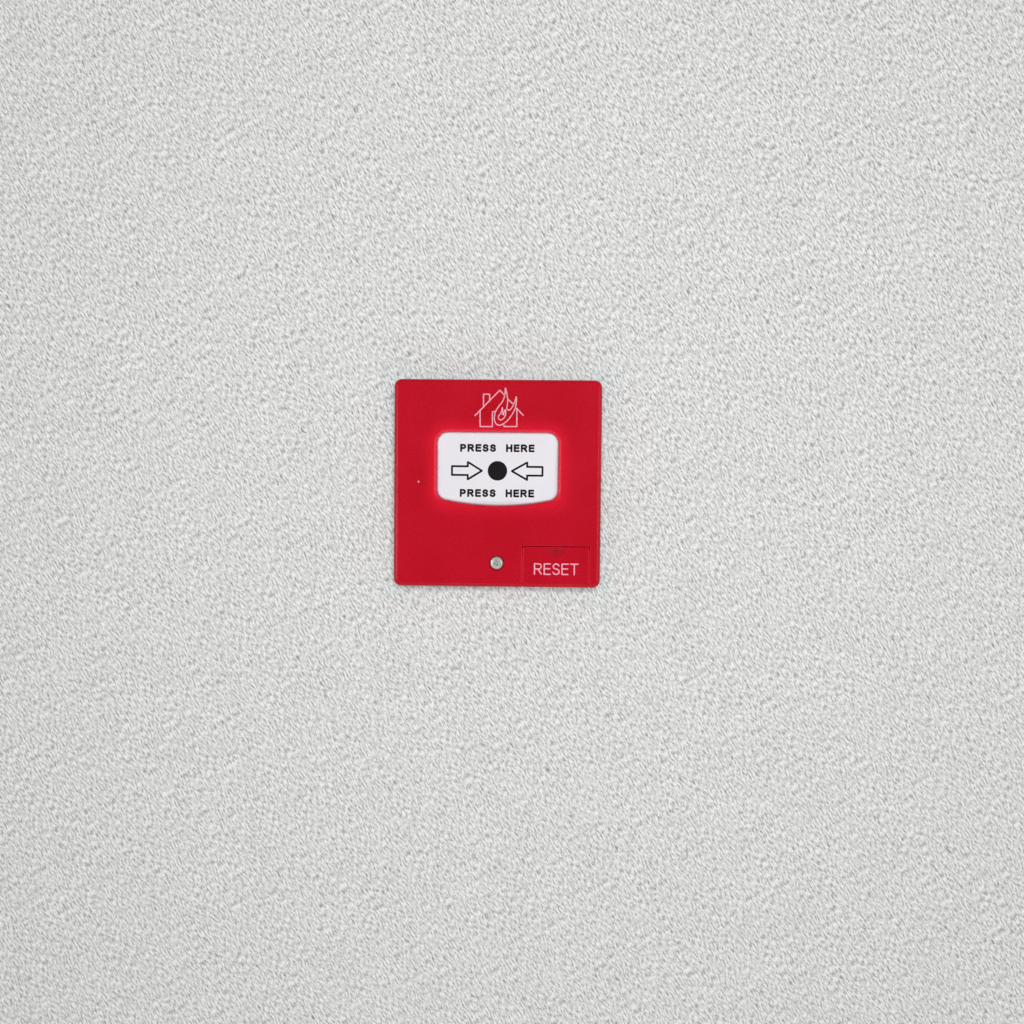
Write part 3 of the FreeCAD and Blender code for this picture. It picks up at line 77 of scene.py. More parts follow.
def add(tree, kind, inputs=None, **settings):
    """Adds a node of this kind to a tree. An input is named or numbered. It is a value, a hex colour or
    a socket to link."""
    node = tree.nodes.new(kind)
    for name, value in settings.items():
        setattr(node, name, value)
    for key, value in (inputs or {}).items():
        if isinstance(value, bpy.types.NodeSocket):
            tree.links.new(value, node.inputs[key])
        else:
            node.inputs[key].default_value = colour(value) if isinstance(value, str) else value
    return node


def new_object(name, data):
    made = bpy.data.objects.new(name, data)
    bpy.context.scene.collection.objects.link(made)
    return made


def plain_mesh(source, name, move=None):
    """The evaluated object as a plain mesh with its place applied, in a new object at the origin."""
    bpy.context.view_layer.update()
    depsgraph = bpy.context.evaluated_depsgraph_get()
    mesh = bpy.data.meshes.new_from_object(source.evaluated_get(depsgraph), depsgraph=depsgraph)
    if move is not None:
        mesh.transform(move)
    bpy.data.objects.remove(source)
    mesh.name = name
    return new_object(name, mesh)


FACE_ROOM = Matrix.Rotation(math.radians(90), 4, "X")
FACE_WALL = Matrix.Rotation(math.radians(-90), 4, "X")


def place(x, y, z, turn=FACE_ROOM):
    """Moves a piece that was drawn flat, facing up, to a place in mm on a face of the object."""
    return Matrix.Translation(Vector((x, y, z)) * MM) @ turn


# %% [markdown]
# ## Camera
# The photograph was taken from just right of the middle, level with the plate. The lens and place
# were worked out from where the cover's four corners are in the picture.

# %% Camera
camera = new_object("camera", bpy.data.cameras.new("camera"))
camera.data.lens = 35
camera.data.sensor_width = 36
camera.data.clip_start = 0.01
camera.location = (0.01458, -0.42279, 0.00530)
camera.rotation_euler = [math.radians(angle) for angle in (87.640, -0.545, 1.188)]
bpy.context.scene.camera = camera
print("camera:", camera.data.lens, "mm lens at", [round(v / MM, 1) for v in camera.location], "mm")

# %% [markdown]
# ## The wall, the floor and the light
# The call point hangs on a rough plastered wall. The wall's plane is y = 0. It is open behind the
# cover, where the wall box would be, and its back is clear, so that a view from behind shows what goes
# into the wall. A plain pale floor lies below, out of the photograph's frame, and is lifted a little for
# the camera. The light is one wide soft lamp in front and a little above, which gives the narrow shadow
# round the cover. The side and low lamps light nothing and are only mirrored in the rounded edges, and
# two lamps behind are for the views of the back. The room in front looks dark in the mirrored light, so
# that the flat red face keeps its depth.

# %% Finish of the plastered wall
def new_finish(name, hex_value="FFFFFF", **values):
    """A material with its Principled shader and the position on the object in millimetres.
    Each value is set on the shader's socket of that name, with spaces written as _."""
    material = bpy.data.materials.new(name)
    material.use_nodes = True
    tree = material.node_tree
    shader = tree.nodes["Principled BSDF"]
    shader.inputs["Base Color"].default_value = colour(hex_value)
    for key, value in values.items():
        shader.inputs[key.replace("_", " ")].default_value = value
    print("finish:", name)
    where = add(tree, "ShaderNodeTexCoord").outputs["Object"]
    in_mm = add(tree, "ShaderNodeVectorMath", {0: where, "Scale": 1 / MM}, operation="SCALE")
    return material, tree, shader, in_mm.outputs[0]


def rough_surface(tree, shader, height, depth):
    """Gives a shader's surface a relief of this depth in mm."""
    relief = add(tree, "ShaderNodeBump", {"Height": height, "Distance": depth * MM, "Strength": 1.0})
    tree.links.new(relief.outputs[0], shader.inputs["Normal"])


# Lime plaster dragged with a float: matt, with grains half a millimetre wide and three times as long
# that all lean one way, and paler and darker patches of a few centimetres. Close to the cover the
# plaster is a trace cooler, because the photograph has none of the red that the cover throws on it.
COVER_HALF, COOL_BAND, FAR = 43.0, 11.0, 100.0
plaster, tree, shader, in_mm = new_finish("plaster_dragged", Roughness=0.9)
leaning = add(tree, "ShaderNodeMapping", {"Vector": in_mm, "Rotation": (0, math.radians(32), 0)})
stretched = add(tree, "ShaderNodeVectorMath", {0: leaning.outputs[0], 1: (1.0, 1.0, 0.32)},
                operation="MULTIPLY")
grains = add(tree, "ShaderNodeTexNoise",
             {"Vector": stretched.outputs[0], "Scale": 1 / 0.72, "Detail": 4.0,
              "Roughness": 0.62}).outputs[0]
pits = add(tree, "ShaderNodeTexNoise", {"Vector": stretched.outputs[0], "Scale": 1 / 1.3}).outputs[0]
patches = add(tree, "ShaderNodeTexNoise", {"Vector": in_mm, "Scale": 1 / 18.0}).outputs[0]
lit = add(tree, "ShaderNodeMapRange", {0: grains, 1: 0.3, 2: 0.58}).outputs[0]
speckled = add(tree, "ShaderNodeMix", {0: lit, 6: "303030", 7: "F4F4F3"}, data_type="RGBA").outputs[2]
unpitted = add(tree, "ShaderNodeMapRange", {0: pits, 1: 0.26, 2: 0.38}).outputs[0]
speckled = add(tree, "ShaderNodeMix", {0: unpitted, 6: "5A5A59", 7: speckled}, data_type="RGBA").outputs[2]
patches = add(tree, "ShaderNodeMapRange", {0: patches, 1: 0.3, 2: 0.7}).outputs[0]
cloudy = add(tree, "ShaderNodeMix", {0: patches, 6: "D4D4D3", 7: "E1E1E0"}, data_type="RGBA").outputs[2]
plain = add(tree, "ShaderNodeMix", {0: 0.72, 6: cloudy, 7: speckled}, data_type="RGBA").outputs[2]
outward = add(tree, "ShaderNodeVectorMath", {0: in_mm}, operation="ABSOLUTE")
outward = add(tree, "ShaderNodeVectorMath", {0: outward.outputs[0], 1: (COVER_HALF, FAR, COVER_HALF)},
              operation="SUBTRACT")
outward = add(tree, "ShaderNodeVectorMath", {0: outward.outputs[0], 1: (0, 0, 0)}, operation="MAXIMUM")
outward = add(tree, "ShaderNodeVectorMath", {0: outward.outputs[0]}, operation="LENGTH").outputs["Value"]
far_off = add(tree, "ShaderNodeMapRange", {0: outward, 1: 0.0, 2: COOL_BAND}).outputs[0]
cooler = add(tree, "ShaderNodeMix", {0: far_off, 6: "F4FFFF", 7: "FFFFFF"}, data_type="RGBA").outputs[2]
tinted = add(tree, "ShaderNodeMix", {0: 1.0, 6: plain, 7: cooler}, data_type="RGBA", blend_type="MULTIPLY")
tree.links.new(tinted.outputs[2], shader.inputs["Base Color"])
rough_surface(tree, shader, grains, 0.15)
see_through = add(tree, "ShaderNodeBsdfTransparent")
behind = add(tree, "ShaderNodeNewGeometry").outputs["Backfacing"]
either = add(tree, "ShaderNodeMixShader", {0: behind, 1: shader.outputs[0], 2: see_through.outputs[0]})
tree.links.new(either.outputs[0], tree.nodes["Material Output"].inputs["Surface"])

# %% Wall and floor
floor_paint, tree, shader, in_mm = new_finish("floor_paint", "E2E2E0", Roughness=0.7)
pattern = add(tree, "ShaderNodeTexNoise", {"Vector": in_mm, "Scale": 1 / 40.0}).outputs[0]
paint = add(tree, "ShaderNodeMix", {0: pattern, 6: "E0E0DE", 7: "E4E4E2"}, data_type="RGBA").outputs[2]
tree.links.new(paint, shader.inputs["Base Color"])
lifted = add(tree, "ShaderNodeEmission", {"Color": "E2E2E0", "Strength": 0.35})
to_camera = add(tree, "ShaderNodeLightPath").outputs["Is Camera Ray"]
unlit = add(tree, "ShaderNodeMixShader", {0: to_camera, 2: lifted.outputs[0]})
both = add(tree, "ShaderNodeAddShader", {0: shader.outputs[0], 1: unlit.outputs[0]})
tree.links.new(both.outputs[0], tree.nodes["Material Output"].inputs["Surface"])


def sheet_of(name, corners, faces, material):
    """A flat sheet that belongs to the room and not to the object."""
    mesh = bpy.data.meshes.new(name)
    mesh.from_pydata(corners, [], faces)
    mesh.materials.append(material)
    made = new_object(name, mesh)
    print(f"{name}: {len(faces)} faces")


def square(low_x, high_x, low_z, high_z):
    return [(low_x, 0, low_z), (high_x, 0, low_z), (high_x, 0, high_z), (low_x, 0, high_z)]


WALL_HALF, FLOOR_Z, BOX_HALF = 1.5, -0.60, 0.041
sheet_of("wall",
         square(-WALL_HALF, WALL_HALF, FLOOR_Z, WALL_HALF) + square(-BOX_HALF, BOX_HALF, -BOX_HALF, BOX_HALF),
         [(k, (k + 1) % 4, 4 + (k + 1) % 4, 4 + k) for k in range(4)], plaster)
sheet_of("floor",
         [(-WALL_HALF, -WALL_HALF, FLOOR_Z), (WALL_HALF, -WALL_HALF, FLOOR_Z),
          (WALL_HALF, WALL_HALF, FLOOR_Z), (-WALL_HALF, WALL_HALF, FLOOR_Z)], [(0, 1, 2, 3)], floor_paint)

# %% Lamps and world
def soft_lamp(name, watts, size, where, lights=True, mirrored=True):
    """A square lamp that looks at the object. It can light it, be mirrored in it, or both."""
    data = bpy.data.lights.new(name, "AREA")
    data.energy, data.size = watts, size
    lamp = new_object(name, data)
    lamp.location = where
    lamp.rotation_euler = (-Vector(where)).to_track_quat("-Z", "Y").to_euler()
    lamp.visible_camera = False
    lamp.visible_diffuse = lights
    lamp.visible_glossy = mirrored


soft_lamp("key_lamp", 8.8, 0.42, (0.06, -1.00, 0.12), mirrored=False)
soft_lamp("side_lamp_left", 1.2, 0.20, (-0.58, -0.80, -0.05), lights=False)
soft_lamp("side_lamp_right", 0.60, 0.20, (0.58, -0.80, -0.05), lights=False)
soft_lamp("low_lamp", 0.15, 0.25, (0.0, -0.80, -0.55), lights=False)
soft_lamp("rear_lamp_left", 9, 0.8, (-0.75, 0.75, 0.55))
soft_lamp("rear_lamp_right", 7, 0.8, (0.80, 0.70, 0.35))

world = bpy.data.worlds.new("room")
bpy.context.scene.world = world
world.use_nodes = True
tree = world.node_tree
tree.nodes.clear()
path = add(tree, "ShaderNodeLightPath")
seen = add(tree, "ShaderNodeMath", {0: path.outputs["Is Camera Ray"], 1: path.outputs["Is Transmission Ray"]},
           operation="MAXIMUM")
seen = add(tree, "ShaderNodeMath", {0: seen.outputs[0], 1: path.outputs["Is Glossy Ray"]},
           operation="MAXIMUM")
fill = add(tree, "ShaderNodeBackground", {"Color": "FFFFFF", "Strength": 0.18})
looking = add(tree, "ShaderNodeTexCoord").outputs["Generated"]
to_room = add(tree, "ShaderNodeVectorMath", {0: looking, 1: (0, -1, 0)}, operation="DOT_PRODUCT")
height = add(tree, "ShaderNodeSeparateXYZ", {0: looking}).outputs[2]
height = add(tree, "ShaderNodeMath", {0: height}, operation="ABSOLUTE").outputs[0]
in_front = add(tree, "ShaderNodeMapRange", {0: to_room.outputs["Value"], 1: 0.88, 2: 0.96}).outputs[0]
high_or_low = add(tree, "ShaderNodeMapRange", {0: height, 1: 0.25, 2: 0.5, 3: 0.0, 4: 0.85}).outputs[0]
dark_side = add(tree, "ShaderNodeMath", {0: in_front, 1: high_or_low}, operation="MAXIMUM")
dark_side = add(tree, "ShaderNodeMath", {0: dark_side.outputs[0], 1: path.outputs["Is Glossy Ray"]},
                operation="MULTIPLY")
backdrop = add(tree, "ShaderNodeMix", {0: dark_side.outputs[0], 6: "E6E7E5", 7: "1C1C1C"},
               data_type="RGBA")
backdrop = add(tree, "ShaderNodeBackground", {"Color": backdrop.outputs[2], "Strength": 1.0})
both = add(tree, "ShaderNodeMixShader", {0: seen.outputs[0], 1: fill.outputs[0], 2: backdrop.outputs[0]})
add(tree, "ShaderNodeOutputWorld", {"Surface": both.outputs[0]})
bpy.context.scene.view_settings.view_transform = "Standard"
world.cycles.sampling_method = "NONE"

# %% [markdown]
# ## Red cover and reset door
# Both are injection-moulded ABS, coloured all through. The mould is spark-eroded, so the surface has
# a fine even grain that spreads the shine. The red is painted brighter, as painted light, in a band of a
# few millimetres round the window, less so below it, and a painted highlight makes it brightest and
# pinkish on the rim at the sides and the top. The red is also painted brighter along the door's gap,
# as painted light, and painted shade darkens the door's scoop, most at its top.

# %% Finish of the cover: moulded red ABS
WINDOW_MIDDLE, WINDOW_HALF, WINDOW_CORNER = (0, 6.2), (25.2, 15.0), 4.6
ARC_RADIUS, ARC_LOW = 104.0, -9.25
GAP_X, GAP_HALF, GAP_TOP, GAP_FOOT = 24.5, 13.975, -25.8, -44.0
SCOOP_X, SCOOP_HALF, SCOOP_TOP, SCOOP_DROP = 24.6, 3.4, -26.0, 4.4


def past_window_edge(tree, in_mm):
    """Distance in mm past the edge of the window's rounded rectangle, negative inside, and the height z."""
    corner = (WINDOW_HALF[0] - WINDOW_CORNER, FAR, WINDOW_HALF[1] - WINDOW_CORNER)
    from_middle = add(tree, "ShaderNodeVectorMath",
                      {0: in_mm, 1: (WINDOW_MIDDLE[0], 0, WINDOW_MIDDLE[1])}, operation="SUBTRACT")
    quarter = add(tree, "ShaderNodeVectorMath", {0: from_middle.outputs[0]}, operation="ABSOLUTE")
    past = add(tree, "ShaderNodeVectorMath", {0: quarter.outputs[0], 1: corner}, operation="SUBTRACT")
    past = add(tree, "ShaderNodeVectorMath", {0: past.outputs[0], 1: (0, 0, 0)}, operation="MAXIMUM")
    past = add(tree, "ShaderNodeVectorMath", {0: past.outputs[0]}, operation="LENGTH").outputs["Value"]
    past = add(tree, "ShaderNodeMath", {0: past, 1: WINDOW_CORNER}, operation="SUBTRACT").outputs[0]
    return past, add(tree, "ShaderNodeSeparateXYZ", {0: in_mm}).outputs[2]


red_abs, tree, shader, in_mm = new_finish("abs_moulded_red", Roughness=0.27, IOR=1.53,
                                          Specular_IOR_Level=0.25)
past, level = past_window_edge(tree, in_mm)
# painted light: the red is painted brighter within 7 mm of the window, half as much towards the bottom
painted_glow = add(tree, "ShaderNodeMapRange", {0: past, 1: 0.0, 2: 7.0, 3: 1.0, 4: 0.0}).outputs[0]
painted_glow = add(tree, "ShaderNodeMath", {0: painted_glow, 1: 1.6}, operation="POWER").outputs[0]
weaker_below = add(tree, "ShaderNodeMapRange", {0: level, 1: -14.0, 2: -2.0, 3: 0.5, 4: 1.0}).outputs[0]
painted_glow = add(tree, "ShaderNodeMath", {0: painted_glow, 1: weaker_below}, operation="MULTIPLY").outputs[0]
clouds = add(tree, "ShaderNodeTexNoise", {"Vector": in_mm, "Scale": 1 / 22.0, "Detail": 1.5}).outputs[0]
clouds = add(tree, "ShaderNodeMapRange", {0: clouds, 1: 0.3, 2: 0.7}).outputs[0]
body_red = add(tree, "ShaderNodeMix", {0: clouds, 6: "B4091E", 7: "BD0D26"}, data_type="RGBA").outputs[2]
# painted highlight: a pinkish rim just outside the window, at the sides and the top only
painted_rim_highlight = add(tree, "ShaderNodeMapRange", {0: past, 1: 0.4, 2: 1.3, 3: 0.75, 4: 0.0}).outputs[0]
above_arc = add(tree, "ShaderNodeMapRange", {0: level, 1: -7.5, 2: -3.0}).outputs[0]
painted_rim_highlight = add(tree, "ShaderNodeMath", {0: painted_rim_highlight, 1: above_arc}, operation="MULTIPLY").outputs[0]
near_window = add(tree, "ShaderNodeMix", {0: painted_glow, 6: body_red, 7: "DC162E"}, data_type="RGBA").outputs[2]
# painted shade: the door's scoop is painted darker, most at its top
from_scoop = add(tree, "ShaderNodeVectorMath", {0: in_mm, 1: (SCOOP_X, 0, SCOOP_TOP)}, operation="SUBTRACT")
from_scoop = add(tree, "ShaderNodeVectorMath",
                 {0: from_scoop.outputs[0], 1: (1 / SCOOP_HALF, 0, 1 / SCOOP_DROP)}, operation="MULTIPLY")
from_scoop = add(tree, "ShaderNodeVectorMath", {0: from_scoop.outputs[0]},
                 operation="LENGTH").outputs["Value"]
painted_scoop_shade = add(tree, "ShaderNodeMapRange", {0: from_scoop, 1: 1.1, 2: 0.8, 3: 0.0, 4: 0.7}).outputs[0]
under_top = add(tree, "ShaderNodeMapRange", {0: level, 1: SCOOP_TOP, 2: SCOOP_TOP - 0.1}).outputs[0]
painted_scoop_shade = add(tree, "ShaderNodeMath", {0: painted_scoop_shade, 1: under_top}, operation="MULTIPLY").outputs[0]
# painted light: the red is painted brighter right along the door's gap
from_gap = add(tree, "ShaderNodeVectorMath", {0: in_mm, 1: (GAP_X, 0, GAP_FOOT)}, operation="SUBTRACT")
from_gap = add(tree, "ShaderNodeVectorMath", {0: from_gap.outputs[0]}, operation="ABSOLUTE")
from_gap = add(tree, "ShaderNodeVectorMath", {0: from_gap.outputs[0], 1: (GAP_HALF, 0, GAP_TOP - GAP_FOOT)},
               operation="SUBTRACT")
sides = add(tree, "ShaderNodeSeparateXYZ", {0: from_gap.outputs[0]}).outputs
from_gap = add(tree, "ShaderNodeMath", {0: sides[0], 1: sides[2]}, operation="MAXIMUM").outputs[0]
from_gap = add(tree, "ShaderNodeMath", {0: from_gap}, operation="ABSOLUTE").outputs[0]
rimmed = add(tree, "ShaderNodeMix", {0: painted_rim_highlight, 6: near_window, 7: "EC3852"},
             data_type="RGBA").outputs[2]
painted_gap_light = add(tree, "ShaderNodeMapRange", {0: from_gap, 1: 0.25, 2: 0.5, 3: 0.7, 4: 0.0}).outputs[0]
rimmed = add(tree, "ShaderNodeMix", {0: painted_gap_light, 6: rimmed, 7: "E8203A"}, data_type="RGBA").outputs[2]
paint = add(tree, "ShaderNodeMix", {0: painted_scoop_shade, 6: rimmed, 7: "9A0A1C"}, data_type="RGBA").outputs[2]
tree.links.new(paint, shader.inputs["Base Color"])
pattern = add(tree, "ShaderNodeTexNoise", {"Vector": in_mm, "Scale": 1 / 0.9}).outputs[0]
shine = add(tree, "ShaderNodeMapRange", {0: pattern, 1: 0.3, 2: 0.7, 3: 0.24, 4: 0.3}).outputs[0]
tree.links.new(shine, shader.inputs["Roughness"])
relief = add(tree, "ShaderNodeTexNoise", {"Vector": in_mm, "Scale": 1 / 0.28}).outputs[0]
rough_surface(tree, shader, relief, 0.008)


# %% Dress the CAD nodes
def dress(material, slot, *names):
    """Gives CAD nodes a finish. Their shapes are right as they are."""
    for name in names:
        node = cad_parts[name]
        node.data.materials.clear()
        node.data.materials.append(material)
        for face in node.data.polygons:
            face.material_index = 0
        print(f"{name}: {material.name}")


dress(red_abs, "cover_red", "front_cover", "reset_door")

# %% [markdown]
# ## Operating plate
# The plate is white polycarbonate, pillowed so that a finger finds its middle, with a soft satin face.
# It is a cold white with a trace of violet. Its edge rolls down into the window, and there painted shade
# makes it greyer, along the sides and the arched lower side but not near the top.

# %% Finish of the plate: white polycarbonate
white_pc, tree, shader, in_mm = new_finish("polycarbonate_moulded_white", Roughness=0.42, IOR=1.58)
clouds = add(tree, "ShaderNodeTexNoise", {"Vector": in_mm, "Scale": 1 / 14.0, "Detail": 1.5}).outputs[0]
clouds = add(tree, "ShaderNodeMapRange", {0: clouds, 1: 0.3, 2: 0.7}).outputs[0]
tint = add(tree, "ShaderNodeMix", {0: clouds, 6: "E2DFE5", 7: "E6E3E8"}, data_type="RGBA").outputs[2]
# painted shade: the plate is painted greyer within 2 mm of the window's edge and along the arc, but not near
# the top
past, level = past_window_edge(tree, in_mm)
painted_side_shade = add(tree, "ShaderNodeMapRange", {0: past, 1: -2.0, 2: -0.2}).outputs[0]
under_top = add(tree, "ShaderNodeMapRange", {0: level, 1: 19.0, 2: 12.0}).outputs[0]
painted_side_shade = add(tree, "ShaderNodeMath", {0: painted_side_shade, 1: under_top}, operation="MULTIPLY").outputs[0]
from_arc_middle = add(tree, "ShaderNodeVectorMath", {0: in_mm, 1: (0, 0, ARC_RADIUS + ARC_LOW)},
                      operation="SUBTRACT")
flat = add(tree, "ShaderNodeVectorMath", {0: from_arc_middle.outputs[0], 1: (1, 0, 1)}, operation="MULTIPLY")
from_arc_middle = add(tree, "ShaderNodeVectorMath", {0: flat.outputs[0]}, operation="LENGTH").outputs["Value"]
painted_arc_shade = add(tree, "ShaderNodeMapRange",
               {0: from_arc_middle, 1: ARC_RADIUS - 1.8, 2: ARC_RADIUS, 3: 0.0, 4: 0.3}).outputs[0]
edge = add(tree, "ShaderNodeMath", {0: painted_side_shade, 1: painted_arc_shade}, operation="MAXIMUM").outputs[0]
paint = add(tree, "ShaderNodeMix", {0: edge, 6: tint, 7: "D2CAD3"}, data_type="RGBA").outputs[2]
tree.links.new(paint, shader.inputs["Base Color"])
relief = add(tree, "ShaderNodeTexNoise", {"Vector": in_mm, "Scale": 1 / 0.3}).outputs[0]
rough_surface(tree, shader, relief, 0.006)
dress(white_pc, "plate_white", "operating_plate")

# %% [markdown]
# ## Hidden mouldings
# The chassis is light grey ABS, and the slider is acetal, a harder grey plastic that slides without
# grease. Both come from a plain polished mould, so they are smoother than the cover, and slow noise
# in their colour stands for how the pigment flowed.

# %% Finishes of the chassis, slider, switch and terminal block
def moulded_plastic(name, dark, light, roughness, ior, grain=0.35, depth=0.008):
    material, tree, shader, in_mm = new_finish(name, light, IOR=ior)
    pattern = add(tree, "ShaderNodeTexNoise", {"Vector": in_mm, "Scale": 1 / 9.0}).outputs[0]
    share = add(tree, "ShaderNodeMapRange", {0: pattern, 1: 0.3, 2: 0.7}).outputs[0]
    paint = add(tree, "ShaderNodeMix", {0: share, 6: dark, 7: light}, data_type="RGBA").outputs[2]
    tree.links.new(paint, shader.inputs["Base Color"])
    fine = add(tree, "ShaderNodeTexNoise", {"Vector": in_mm, "Scale": 1 / grain}).outputs[0]
    shine = add(tree, "ShaderNodeMapRange",
                {0: fine, 1: 0.3, 2: 0.7, 3: roughness - 0.04, 4: roughness + 0.04}).outputs[0]
    tree.links.new(shine, shader.inputs["Roughness"])
    rough_surface(tree, shader, fine, depth)
    return material


grey_abs = moulded_plastic("abs_moulded_light_grey", "C4C6C6", "CCCECE", 0.42, 1.53)
grey_acetal = moulded_plastic("acetal_moulded_grey", "8B8F92", "969A9D", 0.34, 1.48)
red_acetal = moulded_plastic("acetal_moulded_red", "A81C1F", "B82327", 0.34, 1.48)
black_pbt = moulded_plastic("pbt_moulded_black", "1B1C1E", "232427", 0.40, 1.57)
green_nylon = moulded_plastic("nylon_moulded_green", "2E7D4C", "3A8D58", 0.38, 1.53)
dress(grey_abs, "chassis_grey", "chassis")
dress(grey_acetal, "slider_grey", "reset_slider")
dress(red_acetal, "plunger_red", "switch_plunger")
dress(black_pbt, "switch_black", "switch_case")
dress(green_nylon, "terminal_green", "terminal_block")

# %% [markdown]
# ## Metals
# The screws and clamps are zinc-plated steel with a fine soft grain. A thin oxide dulls the plating and
# scatters light, so it is less than fully metallic. The insert is turned brass, the pins are tinned
# copper, and the springs are hard-drawn steel wire.

# %% Finishes of the metals
def metal(name, dark, light, roughness, patch=1.5, depth=0.004, metallic=1.0):
    material, tree, shader, in_mm = new_finish(name, light, Metallic=metallic)
    pattern = add(tree, "ShaderNodeTexNoise",
                  {"Vector": in_mm, "Scale": 1 / patch, "Detail": 3.0}).outputs[0]
    share = add(tree, "ShaderNodeMapRange", {0: pattern, 1: 0.3, 2: 0.7}).outputs[0]
    paint = add(tree, "ShaderNodeMix", {0: share, 6: dark, 7: light}, data_type="RGBA").outputs[2]
    tree.links.new(paint, shader.inputs["Base Color"])
    fine = add(tree, "ShaderNodeTexNoise", {"Vector": in_mm, "Scale": 1 / 0.2, "Detail": 3.0}).outputs[0]
    shine = add(tree, "ShaderNodeMapRange",
                {0: fine, 1: 0.3, 2: 0.7, 3: roughness - 0.05, 4: roughness + 0.06}).outputs[0]
    tree.links.new(shine, shader.inputs["Roughness"])
    rough_surface(tree, shader, fine, depth)
    return material


zinc_plate = metal("steel_zinc_plated", "DAD7D0", "ECE9E3", 0.46, metallic=0.75)
brass = metal("brass_turned", "B08D4A", "C7A25C", 0.28)
tinned_copper = metal("copper_tinned", "B9BABA", "CFCFCE", 0.33)
spring_steel = metal("spring_steel_drawn", "8E9092", "A6A8AA", 0.30)
solder = metal("solder_tin", "B6B8BA", "D0D2D3", 0.22)
dress(zinc_plate, "plated_steel", "terminal_clamps")
dress(tinned_copper, "tinned_wire", "switch_terminals")
dress(spring_steel, "spring_steel", "switch_hinge_pin", "switch_lever", "detent_spring")

# %% [markdown]
# ## Circuit board and what is soldered to it
# The board is glass-fibre laminate under green solder mask. The mask is glossy and the weave of the
# glass shows through it faintly, at about half a millimetre a thread.

# %% Finishes of the board and its parts
mask, tree, shader, in_mm = new_finish("solder_mask_green", Roughness=0.28, IOR=1.52)
weave_x = add(tree, "ShaderNodeTexWave", {"Vector": in_mm, "Scale": 0.6}, bands_direction="X")
weave_z = add(tree, "ShaderNodeTexWave", {"Vector": in_mm, "Scale": 0.6}, bands_direction="Z")
weave = add(tree, "ShaderNodeMath", {0: weave_x.outputs["Fac"], 1: weave_z.outputs["Fac"]},
            operation="MULTIPLY")
paint = add(tree, "ShaderNodeMix", {0: weave.outputs[0], 6: "1D5B34", 7: "236A3D"},
            data_type="RGBA").outputs[2]
tree.links.new(paint, shader.inputs["Base Color"])
rough_surface(tree, shader, weave.outputs[0], 0.01)
dress(mask, "board_green", "circuit_board")

# The light pipe is polished but for its end in the cover. That end is frosted and painted red, as painted
# light that the red cover scatters into it, and a small pale pink spot in its middle is a painted highlight.
clear_pc, tree, shader, in_mm = new_finish("polycarbonate_moulded_clear", Roughness=0.08, IOR=1.58)
PIPE_RADIUS, FROST_START, FROST_END = 1.2, -9.5, -10.5
NIB_X, NIB_Z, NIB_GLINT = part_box("light_pipe")[0].x / MM + PIPE_RADIUS, 0.52, 0.3
parts = add(tree, "ShaderNodeSeparateXYZ", {0: in_mm}).outputs
frosted = add(tree, "ShaderNodeMapRange", {0: parts[1], 1: FROST_START, 2: FROST_END}).outputs[0]
off_x = add(tree, "ShaderNodeMath", {0: parts[0], 1: NIB_X}, operation="SUBTRACT").outputs[0]
off_z = add(tree, "ShaderNodeMath", {0: parts[2], 1: NIB_Z}, operation="SUBTRACT").outputs[0]
spot = add(tree, "ShaderNodeCombineXYZ", {0: off_x, 1: off_z})
spot = add(tree, "ShaderNodeVectorMath", {0: spot.outputs[0]}, operation="LENGTH").outputs["Value"]
# painted light and highlight: the frosted end is painted the cover's red, with a pale pink spot in its middle
share = add(tree, "ShaderNodeMapRange", {0: spot, 1: NIB_GLINT, 2: NIB_GLINT + 0.1}).outputs[0]
tip = add(tree, "ShaderNodeMix", {0: share, 6: "FFB4BE", 7: "A80E1E"}, data_type="RGBA").outputs[2]
paint = add(tree, "ShaderNodeMix", {0: frosted, 6: "F4F6F5", 7: tip}, data_type="RGBA").outputs[2]
tree.links.new(paint, shader.inputs["Base Color"])
clarity = add(tree, "ShaderNodeMapRange", {0: frosted, 1: 0.0, 2: 1.0, 3: 0.92, 4: 0.0}).outputs[0]
tree.links.new(clarity, shader.inputs["Transmission Weight"])
shine = add(tree, "ShaderNodeMapRange", {0: frosted, 1: 0.0, 2: 1.0, 3: 0.08, 4: 0.6}).outputs[0]
tree.links.new(shine, shader.inputs["Roughness"])
relief = add(tree, "ShaderNodeTexNoise", {"Vector": in_mm, "Scale": 1 / 0.6}).outputs[0]
rough_surface(tree, shader, relief, 0.004)
dress(clear_pc, "light_clear", "light_pipe")

led_white = moulded_plastic("led_package_white", "E4E2DA", "EFEDE6", 0.35, 1.55)
dress(led_white, "led_white", "alarm_led")

CAPACITOR_X, CAPACITOR_Z, SLEEVE_EDGE, SLEEVE_TOP = 17.5, -14.0, 2.40, 15.70
sleeve, tree, shader, in_mm = new_finish("pvc_sleeve_printed", Roughness=0.30, IOR=1.53)
parts = add(tree, "ShaderNodeSeparateXYZ", {0: in_mm}).outputs
turned = add(tree, "ShaderNodeMath", {0: parts[2], 1: CAPACITOR_Z}, operation="SUBTRACT")
sideways = add(tree, "ShaderNodeMath", {0: parts[0], 1: CAPACITOR_X}, operation="SUBTRACT")
angle = add(tree, "ShaderNodeMath", {0: turned.outputs[0], 1: sideways.outputs[0]}, operation="ARCTAN2")
stripe = add(tree, "ShaderNodeMath", {0: angle.outputs[0], 1: -1.0, 2: 0.42}, operation="COMPARE")
from_axis = add(tree, "ShaderNodeCombineXYZ", {0: sideways.outputs[0], 1: turned.outputs[0]})
from_axis = add(tree, "ShaderNodeVectorMath", {0: from_axis.outputs[0]}, operation="LENGTH").outputs["Value"]
inside = add(tree, "ShaderNodeMapRange", {0: from_axis, 1: SLEEVE_EDGE + 0.05, 2: SLEEVE_EDGE}).outputs[0]
